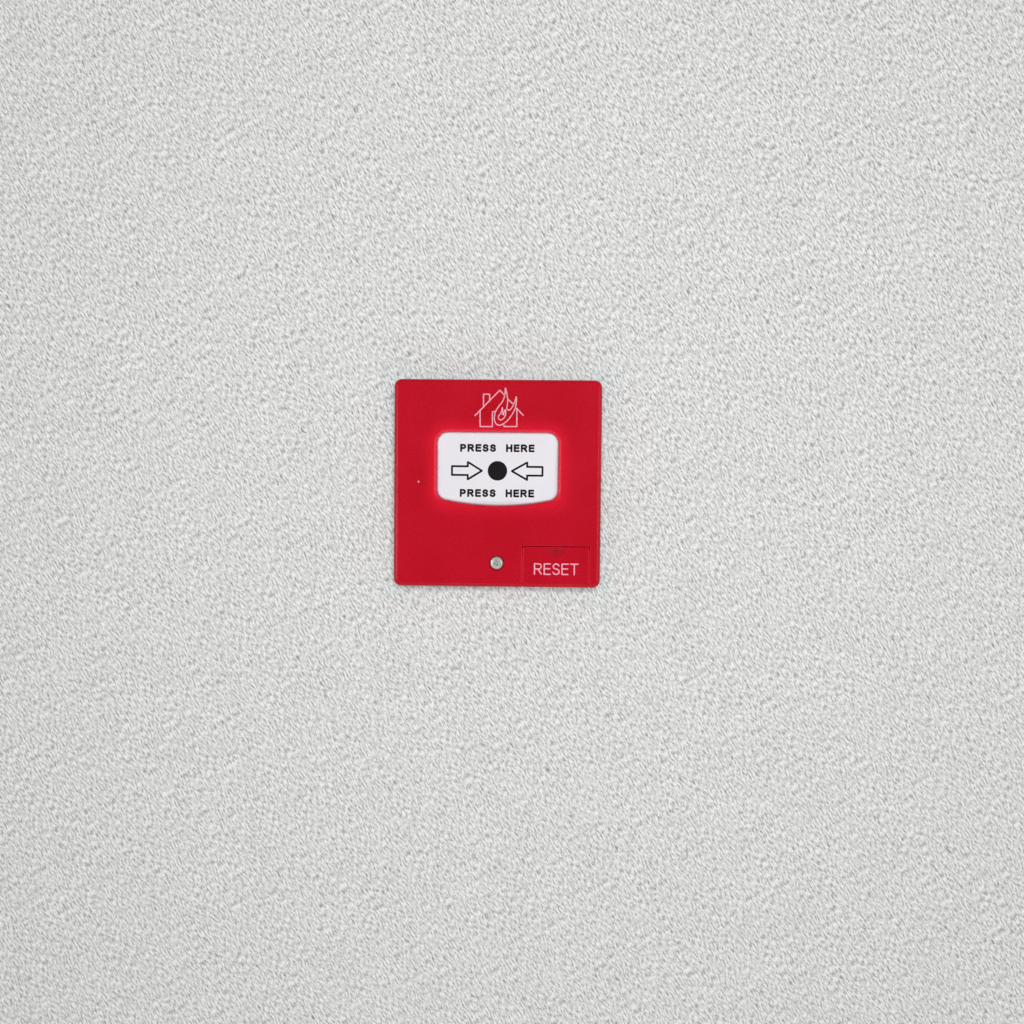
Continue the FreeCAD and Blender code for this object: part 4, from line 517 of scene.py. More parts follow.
on_top = add(tree, "ShaderNodeMapRange", {0: parts[1], 1: SLEEVE_TOP, 2: SLEEVE_TOP + 0.02}).outputs[0]
bare_end = add(tree, "ShaderNodeMath", {0: inside, 1: on_top}, operation="MULTIPLY").outputs[0]
printed = add(tree, "ShaderNodeMix", {0: stripe.outputs[0], 6: "1E222C", 7: "C9CCD2"},
              data_type="RGBA").outputs[2]
paint = add(tree, "ShaderNodeMix", {0: bare_end, 6: printed, 7: "C9CBCC"}, data_type="RGBA").outputs[2]
tree.links.new(paint, shader.inputs["Base Color"])
tree.links.new(bare_end, shader.inputs["Metallic"])
near_x = add(tree, "ShaderNodeMath", {0: sideways.outputs[0], 1: 0.0, 2: 0.09}, operation="COMPARE")
near_z = add(tree, "ShaderNodeMath", {0: turned.outputs[0], 1: 0.0, 2: 0.09}, operation="COMPARE")
vent = add(tree, "ShaderNodeMath", {0: near_x.outputs[0], 1: near_z.outputs[0]}, operation="MAXIMUM")
vent = add(tree, "ShaderNodeMath", {0: vent.outputs[0], 1: bare_end}, operation="MULTIPLY")
grain = add(tree, "ShaderNodeTexNoise", {"Vector": in_mm, "Scale": 1 / 0.8}).outputs[0]
pressed = add(tree, "ShaderNodeMath", {0: grain, 1: vent.outputs[0]}, operation="SUBTRACT")
rough_surface(tree, shader, pressed.outputs[0], 0.02)
dress(sleeve, "capacitor_sleeve", "capacitor")

RESISTOR_X = -20.5
enamel, tree, shader, in_mm = new_finish("resistor_enamel_banded", Roughness=0.35, IOR=1.55)
across = add(tree, "ShaderNodeSeparateXYZ", {0: in_mm}).outputs[0]
paint = "D9C39B"
for middle, band in ((-2.2, "8A5A2B"), (-1.1, "20201F"), (0.0, "B3261E"), (2.0, "C9A24A")):
    inside = add(tree, "ShaderNodeMath", {0: across, 1: RESISTOR_X + middle, 2: 0.3}, operation="COMPARE")
    paint = add(tree, "ShaderNodeMix", {0: inside.outputs[0], 6: paint, 7: band},
                data_type="RGBA").outputs[2]
wire_end = add(tree, "ShaderNodeMath", {0: across, 1: RESISTOR_X, 2: 3.2}, operation="COMPARE")
paint = add(tree, "ShaderNodeMix", {0: wire_end.outputs[0], 6: "C4C4C2", 7: paint},
            data_type="RGBA").outputs[2]
tree.links.new(paint, shader.inputs["Base Color"])
relief = add(tree, "ShaderNodeTexNoise", {"Vector": in_mm, "Scale": 1 / 0.5}).outputs[0]
rough_surface(tree, shader, relief, 0.008)
dress(enamel, "resistor_beige", "resistors")

DIODE_X = 21.0
epoxy, tree, shader, in_mm = new_finish("diode_epoxy_banded", Roughness=0.33, IOR=1.55)
across = add(tree, "ShaderNodeSeparateXYZ", {0: in_mm}).outputs[0]
cathode = add(tree, "ShaderNodeMath", {0: across, 1: DIODE_X + 1.6, 2: 0.35}, operation="COMPARE")
body = add(tree, "ShaderNodeMath", {0: across, 1: DIODE_X, 2: 2.55}, operation="COMPARE")
banded = add(tree, "ShaderNodeMix", {0: cathode.outputs[0], 6: "1A1A1C", 7: "C8C8C6"},
             data_type="RGBA").outputs[2]
paint = add(tree, "ShaderNodeMix", {0: body.outputs[0], 6: "C4C4C2", 7: banded},
            data_type="RGBA").outputs[2]
tree.links.new(paint, shader.inputs["Base Color"])
relief = add(tree, "ShaderNodeTexNoise", {"Vector": in_mm, "Scale": 1 / 0.5}).outputs[0]
rough_surface(tree, shader, relief, 0.008)
dress(epoxy, "diode_black", "diode")

# %% [markdown]
# ## A tree of geometry nodes
# Screws, pads, ink lines and wire all repeat or follow a path, so geometry nodes make them. This
# helper builds an empty tree with named inputs. Another puts it on an object, sets the inputs by
# their identifiers, and turns the result into a plain mesh.

# %% Helpers for geometry trees
SOCKETS = {float: "NodeSocketFloat", int: "NodeSocketInt", bool: "NodeSocketBool",
           bpy.types.Material: "NodeSocketMaterial"}


def new_tree(name, **inputs):
    """A geometry tree with these inputs. Returns the tree and a dictionary of its input sockets."""
    tree = bpy.data.node_groups.new(name, "GeometryNodeTree")
    tree.interface.new_socket("Geometry", in_out="INPUT", socket_type="NodeSocketGeometry")
    tree.interface.new_socket("Geometry", in_out="OUTPUT", socket_type="NodeSocketGeometry")
    for key, kind in inputs.items():
        tree.interface.new_socket(key.replace("_", " "), in_out="INPUT", socket_type=SOCKETS[kind])
    entry = tree.nodes.new("NodeGroupInput")
    return tree, {socket.name: socket for socket in entry.outputs if socket.name}


def end_tree(tree, geometry, material):
    """Ends a tree with Realize Instances and Set Material."""
    real = add(tree, "GeometryNodeRealizeInstances", {0: geometry})
    painted = add(tree, "GeometryNodeSetMaterial", {"Geometry": real.outputs[0], "Material": material})
    add(tree, "NodeGroupOutput", {0: painted.outputs[0]})


def grow(name, source, tree, body, slot, move=None, **values):
    """Runs a tree on a mesh or curve and returns the piece as a plain mesh that rides a body."""
    holder = new_object(name + "_source", source)
    modifier = holder.modifiers.new("tree", "NODES")
    modifier.node_group = tree
    names = {item.name: item.identifier for item in tree.interface.items_tree if item.in_out == "INPUT"}
    for key, value in values.items():
        modifier[names[key.replace("_", " ")]] = value
    piece = plain_mesh(holder, name, move)
    merged = bmesh.new()
    merged.from_mesh(piece.data)
    bmesh.ops.remove_doubles(merged, verts=merged.verts, dist=0.0005 * MM)
    bmesh.ops.recalc_face_normals(merged, faces=merged.faces)
    merged.to_mesh(piece.data)
    merged.free()
    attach(piece, body)
    print(f"{name}: {len(piece.data.polygons)} faces")
    return piece


def dots(name, places):
    """A mesh of loose points in mm, for a tree that repeats something on each."""
    mesh = bpy.data.meshes.new(name)
    mesh.from_pydata([Vector(p) * MM for p in places], [], [])
    return mesh


# %% [markdown]
# ## Screws
# A screw is a head turned on a lathe, a slot or a cross pressed into it, and a thread rolled on its
# shank. The tree sweeps the head's outline round a circle, cuts the recess, and winds a ridge along
# a spiral. It makes one screw, standing on the seat of its head, and repeats it on every point.

# %% Tree for a screw
screw_tree, given = new_tree("screw", Head_Radius=float, Head_Height=float, Shank_Radius=float,
                             Shank_Length=float, Pitch=float, Recess_Length=float, Recess_Width=float,
                             Recess_Depth=float, Cross=bool, Turn=float, Finish=bpy.types.Material)


HEAD_SIDE, TOP_SHARE = 0.35, 0.62


def screw_head(tree, radius, height):
    """A pan head: a cylinder that is drawn in, along an arc of rings, from its side to its flat top."""
    body = add(tree, "GeometryNodeMeshCylinder",
               {"Vertices": 48, "Side Segments": 8, "Radius": 1.0, "Depth": 1.0}, fill_type="NGON")
    where = add(tree, "ShaderNodeSeparateXYZ", {0: add(tree, "GeometryNodeInputPosition").outputs[0]}).outputs
    up = add(tree, "ShaderNodeMath", {0: where[2], 1: 0.5}, operation="ADD").outputs[0]
    past = add(tree, "ShaderNodeMapRange", {0: up, 1: HEAD_SIDE, 2: 1.0}).outputs[0]
    past = add(tree, "ShaderNodeMath", {0: past, 1: past}, operation="MULTIPLY").outputs[0]
    drawn_in = add(tree, "ShaderNodeMath", {0: 1.0, 1: past}, operation="SUBTRACT").outputs[0]
    drawn_in = add(tree, "ShaderNodeMath", {0: drawn_in, 1: 0.0}, operation="SQRT").outputs[0]
    wide = add(tree, "ShaderNodeMath", {0: drawn_in, 1: 1 - TOP_SHARE}, operation="MULTIPLY").outputs[0]
    wide = add(tree, "ShaderNodeMath", {0: wide, 1: TOP_SHARE}, operation="ADD").outputs[0]
    wide = add(tree, "ShaderNodeMath", {0: wide, 1: radius}, operation="MULTIPLY").outputs[0]
    tall = add(tree, "ShaderNodeMath", {0: up, 1: height}, operation="MULTIPLY").outputs[0]
    spot_x = add(tree, "ShaderNodeMath", {0: where[0], 1: wide}, operation="MULTIPLY").outputs[0]
    spot_y = add(tree, "ShaderNodeMath", {0: where[1], 1: wide}, operation="MULTIPLY").outputs[0]
    spot = add(tree, "ShaderNodeCombineXYZ", {0: spot_x, 1: spot_y, 2: tall}).outputs[0]
    return add(tree, "GeometryNodeSetPosition", {"Geometry": body.outputs[0], "Position": spot}).outputs[0]


def recess_arm(tree, given, quarter_turn):
    """One slot of the recess, a block that narrows downwards, set at the top of the head."""
    tall = add(tree, "ShaderNodeMath", {0: given["Recess Depth"], 1: 2.0}, operation="MULTIPLY").outputs[0]
    size = add(tree, "ShaderNodeCombineXYZ",
               {0: given["Recess Length"], 1: given["Recess Width"], 2: tall}).outputs[0]
    block = add(tree, "GeometryNodeMeshCube", {"Size": size})
    where = add(tree, "GeometryNodeInputPosition").outputs[0]
    parts = add(tree, "ShaderNodeSeparateXYZ", {0: where}).outputs
    low = add(tree, "ShaderNodeMath", {0: parts[2], 1: 0.0}, operation="LESS_THAN").outputs[0]
    narrow = add(tree, "ShaderNodeMath", {0: low, 1: 0.3}, operation="MULTIPLY").outputs[0]
    narrow = add(tree, "ShaderNodeMath", {0: 1.0, 1: narrow}, operation="SUBTRACT").outputs[0]
    spot_x = add(tree, "ShaderNodeMath", {0: parts[0], 1: narrow}, operation="MULTIPLY").outputs[0]
    spot_y = add(tree, "ShaderNodeMath", {0: parts[1], 1: narrow}, operation="MULTIPLY").outputs[0]
    spot = add(tree, "ShaderNodeCombineXYZ", {0: spot_x, 1: spot_y, 2: parts[2]}).outputs[0]
    block = add(tree, "GeometryNodeSetPosition", {"Geometry": block.outputs[0], "Position": spot})
    turn = add(tree, "ShaderNodeMath", {0: given["Turn"], 1: quarter_turn}, operation="ADD").outputs[0]
    up = add(tree, "ShaderNodeCombineXYZ", {2: given["Head Height"]}).outputs[0]
    about_z = add(tree, "ShaderNodeCombineXYZ", {2: turn}).outputs[0]
    return add(tree, "GeometryNodeTransform",
               {"Geometry": block.outputs[0], "Translation": up, "Rotation": about_z}).outputs[0]


head = screw_head(screw_tree, given["Head Radius"], given["Head Height"])
slot_arm = recess_arm(screw_tree, given, 0.0)
cross_arm = recess_arm(screw_tree, given, math.pi / 2)
slotted = add(screw_tree, "GeometryNodeMeshBoolean", {"Mesh 1": head, "Mesh 2": slot_arm},
              operation="DIFFERENCE", solver="EXACT")
crossed = add(screw_tree, "GeometryNodeMeshBoolean", {"Mesh 1": slotted.outputs[0], "Mesh 2": cross_arm},
              operation="DIFFERENCE", solver="EXACT")
cut_head = add(screw_tree, "GeometryNodeSwitch",
               {"Switch": given["Cross"], "False": slotted.outputs[0], "True": crossed.outputs[0]})

ridge_radius = add(screw_tree, "ShaderNodeMath", {0: given["Pitch"], 1: 0.3},
                   operation="MULTIPLY").outputs[0]
core_radius = add(screw_tree, "ShaderNodeMath", {0: given["Shank Radius"], 1: ridge_radius},
                  operation="SUBTRACT").outputs[0]
half_down = add(screw_tree, "ShaderNodeMath", {0: given["Shank Length"], 1: -0.5},
                operation="MULTIPLY").outputs[0]
half_down = add(screw_tree, "ShaderNodeCombineXYZ", {2: half_down}).outputs[0]
core = add(screw_tree, "GeometryNodeMeshCylinder",
           {"Vertices": 32, "Radius": core_radius, "Depth": given["Shank Length"]}, fill_type="NGON")
core = add(screw_tree, "GeometryNodeTransform", {"Geometry": core.outputs[0], "Translation": half_down})
turns = add(screw_tree, "ShaderNodeMath", {0: given["Shank Length"], 1: given["Pitch"]},
            operation="DIVIDE").outputs[0]
turns = add(screw_tree, "ShaderNodeMath", {0: turns, 1: 1.2}, operation="SUBTRACT").outputs[0]
wound = add(screw_tree, "ShaderNodeMath", {0: turns, 1: given["Pitch"]}, operation="MULTIPLY").outputs[0]
path = add(screw_tree, "GeometryNodeCurveSpiral",
           {"Resolution": 28, "Rotations": turns, "Start Radius": core_radius, "End Radius": core_radius,
            "Height": wound})
ridge_outline = add(screw_tree, "GeometryNodeCurvePrimitiveCircle",
                    {"Resolution": 4, "Radius": ridge_radius})
ridge = add(screw_tree, "GeometryNodeCurveToMesh",
            {"Curve": path.outputs[0], "Profile Curve": ridge_outline.outputs[0], "Fill Caps": True})
half_pitch = add(screw_tree, "ShaderNodeMath", {0: given["Pitch"], 1: 0.5}, operation="MULTIPLY").outputs[0]
below = add(screw_tree, "ShaderNodeMath", {0: wound, 1: -1.0}, operation="MULTIPLY").outputs[0]
below = add(screw_tree, "ShaderNodeMath", {0: below, 1: half_pitch}, operation="SUBTRACT").outputs[0]
below = add(screw_tree, "ShaderNodeCombineXYZ", {2: below}).outputs[0]
ridge = add(screw_tree, "GeometryNodeTransform", {"Geometry": ridge.outputs[0], "Translation": below})
one_screw = add(screw_tree, "GeometryNodeJoinGeometry", {0: cut_head.outputs[0]})
screw_tree.links.new(core.outputs[0], one_screw.inputs[0])
screw_tree.links.new(ridge.outputs[0], one_screw.inputs[0])
repeated = add(screw_tree, "GeometryNodeInstanceOnPoints",
               {"Points": given["Geometry"], "Instance": one_screw.outputs[0]})
end_tree(screw_tree, repeated.outputs[0], given["Finish"])


# %% Make the screws
def screws(name, node, places, seat, facing, **sizes):
    """Screws whose heads sit on the level `seat`, at places (x, z), in mm. They replace a CAD node."""
    sign = 1 if facing is FACE_ROOM else -1
    values = {key: value if key in ("Turn", "Cross") else value * MM for key, value in sizes.items()}
    piece = grow(name, dots(name, [(x, sign * z, 0) for x, z in places]), screw_tree, "housing",
                 "plated_steel", place(0, seat, 0, facing), Finish=zinc_plate, **values)
    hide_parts(node)


COVER_SEAT, BOARD_SEAT, TERMINAL_SEAT = -9.0, 6.8, 14.1
low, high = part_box("cover_screw")
COVER_SCREW = ((low.x + high.x) / 2 / MM, (low.z + high.z) / 2 / MM)
screws("cover_screw_turned", "cover_screw", [COVER_SCREW], COVER_SEAT, FACE_ROOM, Head_Radius=2.8,
       Head_Height=1.68, Shank_Radius=1.5, Shank_Length=7.9, Pitch=0.7, Recess_Length=3.1,
       Recess_Width=0.85, Recess_Depth=1.2, Cross=True, Turn=0.3)

BOARD_SCREWS = [(sx * 27.8, sz * 25.8) for sx in (-1, 1) for sz in (-1, 1)]
screws("board_screws_turned", "board_screws", BOARD_SCREWS, BOARD_SEAT, FACE_WALL, Head_Radius=2.0,
       Head_Height=1.4, Shank_Radius=1.0, Shank_Length=4.9, Pitch=0.8, Recess_Length=2.2, Recess_Width=0.5,
       Recess_Depth=0.8, Cross=True, Turn=0.5)

TERMINAL_SCREWS = [(x, -17.0) for x in (-7.62, -2.54, 2.54, 7.62)]
screws("terminal_screws_turned", "terminal_screws", TERMINAL_SCREWS, TERMINAL_SEAT, FACE_WALL,
       Head_Radius=1.6, Head_Height=1.3, Shank_Radius=1.0, Shank_Length=3.0, Pitch=0.5, Recess_Length=3.1,
       Recess_Width=0.55, Recess_Depth=0.7, Cross=False, Turn=0.7)

# %% [markdown]
# ## Brass insert
# The insert is pressed hot into the chassis, and a diamond knurl on its outside keeps it from turning.
# A tree repeats a row of small pyramids round it in two rings, as a knurling wheel leaves them.

# %% Tree for a knurled insert
insert_tree, given = new_tree("knurled_insert", Radius=float, Wall=float, Length=float, Tooth=float,
                              Finish=bpy.types.Material)
half_wall = add(insert_tree, "ShaderNodeMath", {0: given["Wall"], 1: 0.5}, operation="MULTIPLY").outputs[0]
middle = add(insert_tree, "ShaderNodeMath", {0: given["Radius"], 1: half_wall},
             operation="SUBTRACT").outputs[0]
round_path = add(insert_tree, "GeometryNodeCurvePrimitiveCircle", {"Resolution": 48, "Radius": middle})
wall = add(insert_tree, "GeometryNodeCurvePrimitiveQuadrilateral",
           {"Width": given["Wall"], "Height": given["Length"]})
barrel = add(insert_tree, "GeometryNodeCurveToMesh",
             {"Curve": round_path.outputs[0], "Profile Curve": wall.outputs[0]})
tooth_height = add(insert_tree, "ShaderNodeMath", {0: given["Tooth"], 1: 0.5},
                   operation="MULTIPLY").outputs[0]
pyramid = add(insert_tree, "GeometryNodeMeshCone",
              {"Vertices": 4, "Radius Top": 0.0, "Radius Bottom": given["Tooth"], "Depth": tooth_height},
              fill_type="NGON")
spot = add(insert_tree, "ShaderNodeSeparateXYZ",
           {0: add(insert_tree, "GeometryNodeInputPosition").outputs[0]}).outputs
outwards = add(insert_tree, "ShaderNodeCombineXYZ", {0: spot[0], 1: spot[1]}).outputs[0]
outwards = add(insert_tree, "FunctionNodeAlignRotationToVector", {"Vector": outwards}, axis="Z")
teeth = add(insert_tree, "GeometryNodeInstanceOnPoints",
            {"Points": given["Geometry"], "Instance": pyramid.outputs[0], "Rotation": outwards.outputs[0]})
joined = add(insert_tree, "GeometryNodeJoinGeometry", {0: barrel.outputs[0]})
insert_tree.links.new(teeth.outputs[0], joined.inputs[0])
end_tree(insert_tree, joined.outputs[0], given["Finish"])

# %% Make the insert
low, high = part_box("screw_insert")
INSERT_RADIUS, INSERT_LENGTH, INSERT_BORE = (high.x - low.x) / 2 / MM, (high.y - low.y) / MM, 1.55
TOOTH, TEETH_ROUND = 0.20, 36
BARREL_RADIUS = INSERT_RADIUS - TOOTH / 2
teeth = [(BARREL_RADIUS * math.cos(a), BARREL_RADIUS * math.sin(a), z)
         for row, z in enumerate((-1.9, -1.6, -1.3, -1.0, 1.0, 1.3, 1.6, 1.9))
         for a in (2 * math.pi * (k + 0.5 * (row % 2)) / TEETH_ROUND for k in range(TEETH_ROUND))]
insert = grow("screw_insert_knurled", dots("teeth", teeth), insert_tree, "housing", "insert_brass",
              place(COVER_SCREW[0], (low.y + high.y) / 2 / MM, COVER_SCREW[1]), Radius=BARREL_RADIUS * MM,
              Wall=(BARREL_RADIUS - INSERT_BORE) * MM, Length=INSERT_LENGTH * MM, Tooth=TOOTH * MM,
              Finish=brass)
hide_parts("screw_insert")

# %% [markdown]
# ## Trip spring
# The spring pulls the slider. It is a coil of wire with a loop at each end that hooks over a peg, one
# on the chassis and one on the slider. The CAD coil has few sides, so a smoother one takes its place.

# %% Tree for wire
wire_tree, given = new_tree("wire", Radius=float, Sides=int, Finish=bpy.types.Material)
outline = add(wire_tree, "GeometryNodeCurvePrimitiveCircle",
              {"Resolution": given["Sides"], "Radius": given["Radius"]})
swept = add(wire_tree, "GeometryNodeCurveToMesh",
            {"Curve": given["Geometry"], "Profile Curve": outline.outputs[0], "Fill Caps": True})
smooth = add(wire_tree, "GeometryNodeSetShadeSmooth", {"Geometry": swept.outputs[0]})
end_tree(wire_tree, smooth.outputs[0], given["Finish"])


def paths(name, lines, closed=(), kind="POLY"):
    """A curve object's data with one spline for each list of points in mm."""
    data = bpy.data.curves.new(name, "CURVE")
    data.dimensions = "3D"
    for index, points in enumerate(lines):
        spline = data.splines.new(kind)
        spline.points.add(len(points) - 1)
        for spot, point in zip(spline.points, points):
            spot.co = (*[v * MM for v in point], 1.0)
        spline.use_cyclic_u = index in closed
    return data


def arc(x, z, across, up, start, end, steps=12):
    """Points on an oval about (x, z), from one angle to another in degrees."""
    angles = [math.radians(start + (end - start) * k / steps) for k in range(steps + 1)]
    return [(x + across * math.cos(a), z + up * math.sin(a)) for a in angles]


def coil_path(x, y, start, end, radius, turns, steps=24):
    """A coil along Z between two heights in mm, whose first and last turns run in to the middle."""
    last = turns * steps
    points = []
    for k in range(last + 1):
        angle = 2 * math.pi * k / steps
        out = radius * min(1.0, k / steps, (last - k) / steps)
        points.append((x + out * math.cos(angle), y + out * math.sin(angle),
                       start + (end - start) * k / last))
    return points


def wire_piece(name, points, body, closed=False):
    return grow(name, paths(name, [points], (0,) if closed else ()), wire_tree, body, "spring_steel",
                Radius=WIRE_RADIUS * MM, Sides=10, Finish=spring_steel)


SPRING_X, SPRING_Y, LOW_PEG, HIGH_PEG = 24.5, -4.5, -23.0, -13.2
WIRE_RADIUS, LOOP_RADIUS, COIL_RADIUS, COIL_TURNS = 0.175, 1.0, 1.0, 12
coil_low, coil_high = LOW_PEG + LOOP_RADIUS, HIGH_PEG - LOOP_RADIUS


def loop_path(middle):
    return [(SPRING_X + x, SPRING_Y, middle + z) for x, z in arc(0, 0, LOOP_RADIUS, LOOP_RADIUS, 0, 345, 23)]


low_loop = wire_piece("trip_spring_low_loop", loop_path(LOW_PEG), "housing", closed=True)
wire_piece("trip_spring_high_loop", loop_path(HIGH_PEG), "reset_slider", closed=True)
coil = wire_piece("trip_spring_coil",
                  coil_path(SPRING_X, SPRING_Y, coil_low, coil_high, COIL_RADIUS, COIL_TURNS), "housing")
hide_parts("trip_spring")
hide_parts("trip_spring")
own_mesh(coil)

# %% [markdown]
# ## Ink and pen strokes
# Outlines, tracks and letters are drawn as pen strokes along a path, as they are engraved in a
# printing plate or drawn on a board's film. A tree rounds the path's corners, or lets it flow through
# its points, sweeps a flat nib along it, and unites strokes that cross into one film.

# %% Inks
INK_PROUD = 0.02

black_ink, tree, shader, in_mm = new_finish("ink_black_pad_printed", Roughness=0.45, IOR=1.5,
                                            Specular_IOR_Level=0.2)
speckle = add(tree, "ShaderNodeTexNoise", {"Vector": in_mm, "Scale": 1 / 0.5, "Detail": 3.0}).outputs[0]
share = add(tree, "ShaderNodeMapRange", {0: speckle, 1: 0.3, 2: 0.7}).outputs[0]
paint = add(tree, "ShaderNodeMix", {0: share, 6: "131112", 7: "1D1B1C"}, data_type="RGBA").outputs[2]
tree.links.new(paint, shader.inputs["Base Color"])
rough_surface(tree, shader, speckle, 0.004)
pink_ink, tree, shader, in_mm = new_finish("ink_pinkish_white_printed", Roughness=0.5, IOR=1.5,
                                           Specular_IOR_Level=0.2)
speckle = add(tree, "ShaderNodeTexNoise", {"Vector": in_mm, "Scale": 1 / 0.6, "Detail": 3.0}).outputs[0]
share = add(tree, "ShaderNodeMapRange", {0: speckle, 1: 0.3, 2: 0.7}).outputs[0]
paint = add(tree, "ShaderNodeMix", {0: share, 6: "E79FB0", 7: "F0B6C4"}, data_type="RGBA").outputs[2]
tree.links.new(paint, shader.inputs["Base Color"])
rough_surface(tree, shader, speckle, 0.004)

# %% Tree for a pen stroke
stroke_tree, given = new_tree("pen_stroke", Width=float, Thickness=float, Corner=float, Flowing=bool,
                              Finish=bpy.types.Material)
rounded = add(stroke_tree, "GeometryNodeFilletCurve",
              {"Curve": given["Geometry"], "Radius": given["Corner"], "Limit Radius": True, "Count": 3},
              mode="POLY")
flowing = add(stroke_tree, "GeometryNodeCurveSplineType", {"Curve": given["Geometry"]},
              spline_type="CATMULL_ROM")
flowing = add(stroke_tree, "GeometryNodeSetSplineResolution", {0: flowing.outputs[0], "Resolution": 5})
rounded = add(stroke_tree, "GeometryNodeSwitch",
              {"Switch": given["Flowing"], "False": rounded.outputs[0], "True": flowing.outputs[0]})
nib = add(stroke_tree, "GeometryNodeCurvePrimitiveQuadrilateral",
          {"Width": given["Width"], "Height": given["Thickness"]})
inked = add(stroke_tree, "GeometryNodeCurveToMesh",
            {"Curve": rounded.outputs[0], "Profile Curve": nib.outputs[0], "Fill Caps": True})
united = add(stroke_tree, "GeometryNodeMeshBoolean", {"Mesh 2": inked.outputs[0], "Self Intersection": True},
             operation="UNION", solver="EXACT")
end_tree(stroke_tree, united.outputs[0], given["Finish"])


def strokes(name, lines, closed, width, corner, level, body, slot, ink, flowing=False):
    """Pen strokes through points (x, z) in mm, on the face at the level y = -level."""
    flat = paths(name, [[(x, z, 0) for x, z in line] for line in lines], closed)
    return grow(name, flat, stroke_tree, body, slot, place(0, -level, 0), Width=width * MM,
                Thickness=2 * INK_PROUD * MM, Corner=corner * MM, Flowing=flowing, Finish=ink)


# %% Letters
# Each letter has its width, and its strokes in a box one wide and one high.
LETTERS = {
    "P": (0.80, [[(0, 0), (0, 1)], [(0, 1), *arc(0.62, 0.73, 0.38, 0.27, 90, -90), (0, 0.46)]]),
    "R": (0.87, [[(0, 0), (0, 1)], [(0, 1), *arc(0.62, 0.745, 0.34, 0.255, 90, -90), (0, 0.49)],
                 [(0.50, 0.49), (0.96, 0.03)]]),
    "E": (0.76, [[(1, 1), (0, 1), (0, 0), (1, 0)], [(0, 0.53), (0.93, 0.53)]]),
    "S": (0.80, [[*arc(0.5, 0.755, 0.45, 0.245, 15, 230), *arc(0.5, 0.265, 0.49, 0.265, 50, -165)]]),
    "H": (0.85, [[(0, 0), (0, 1)], [(1, 0), (1, 1)], [(0, 0.53), (1, 0.53)]]),
    "T": (0.90, [[(0, 1), (1, 1)], [(0.5, 1), (0.5, 0)]]),
}
LETTER_GAP = 0.16


def lettering(text, left, right, low, high, pen):
    """Strokes of a word that fills a box in mm. The pen's ends are square, so each line is made longer."""
    widths = [LETTERS[letter][0] for letter in text]
    scale = (right - left) / (sum(widths) + LETTER_GAP * (len(text) - 1))
    lines, edge = [], left
    for letter, width in zip(text, widths):
        wide, tall = width * scale - pen, high - low - pen
        for line in LETTERS[letter][1]:
            spots = [Vector((edge + pen / 2 + u * wide, low + pen / 2 + v * tall)) for u, v in line]
            spots[0] += (spots[0] - spots[1]).normalized() * pen / 2
            spots[-1] += (spots[-1] - spots[-2]).normalized() * pen / 2
            lines.append([tuple(spot) for spot in spots])
        edge += (width + LETTER_GAP) * scale
    return lines


# %% [markdown]
# ## Tracks, joints and legend of the board
# Copper tracks run under the green mask and lift it by a hair, so they are pen strokes in the mask's
# finish, a shade lighter. Each leg stands in a cone of solder that hollows in towards its tip, as it
# does when it wets the metal. The white outlines are screen-printed.

# %% Tracks
copper_mask, tree, shader, in_mm = new_finish("solder_mask_over_copper", Roughness=0.26, IOR=1.52)
pattern = add(tree, "ShaderNodeTexNoise", {"Vector": in_mm, "Scale": 1 / 2.0}).outputs[0]
paint = add(tree, "ShaderNodeMix", {0: pattern, 6: "2B7A45", 7: "338650"}, data_type="RGBA").outputs[2]
tree.links.new(paint, shader.inputs["Base Color"])
relief = add(tree, "ShaderNodeTexNoise", {"Vector": in_mm, "Scale": 1 / 0.5}).outputs[0]
rough_surface(tree, shader, relief, 0.006)
BOARD_FRONT, BOARD_BACK = [corner.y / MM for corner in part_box("circuit_board")]
TRACKS = [
    [(-7.68, 5.3), (-7.68, -12.0)],
    [(-2.6, 5.3), (-2.6, -12.0)],
    [(2.48, 5.3), (2.48, -2.0), (9.0, -8.5), (15.5, -8.5), (17.5, -10.5)],
    [(7.62, -12.0), (7.62, -9.5), (20.5, 3.4), (20.5, 12.0), (17.0, 15.5), (-20.0, 15.5), (-23.0, 17.5),
     (-27.6, 17.5)],
    [(-15.9, -14.0), (-10.0, -14.0)],
    [(-15.9, -18.5), (-10.0, -18.5)],
    [(-15.9, -23.0), (-13.0, -25.5), (13.5, -25.5), (17.06, -22.5)],
    [(-25.1, -23.0), (-25.1, -14.0), (-21.5, -10.4), (-21.5, 8.4), (-26.0, 12.9), (-27.6, 12.9)],
    [(24.94, -22.5), (26.5, -20.5), (26.5, -14.0), (21.0, -13.0)],
    [(2.54, -22.0), (2.54, -24.0), (22.0, -24.0), (27.5, -18.0), (27.5, -13.5)],
]


def board_lines(name, lines, closed, width, proud, finish, slot="board_green"):
    """Raised lines on the back of the board, from points (x, z) in mm seen from the room."""
    flat = paths(name, [[(x, -z, 0) for x, z in line] for line in lines], closed)
    return grow(name, flat, stroke_tree, "housing", slot, place(0, BOARD_BACK, 0, FACE_WALL),
                Width=width * MM, Thickness=2 * proud * MM, Corner=0.3 * MM, Flowing=False, Finish=finish)


board_lines("board_tracks", TRACKS, (), 0.8, 0.04, copper_mask)

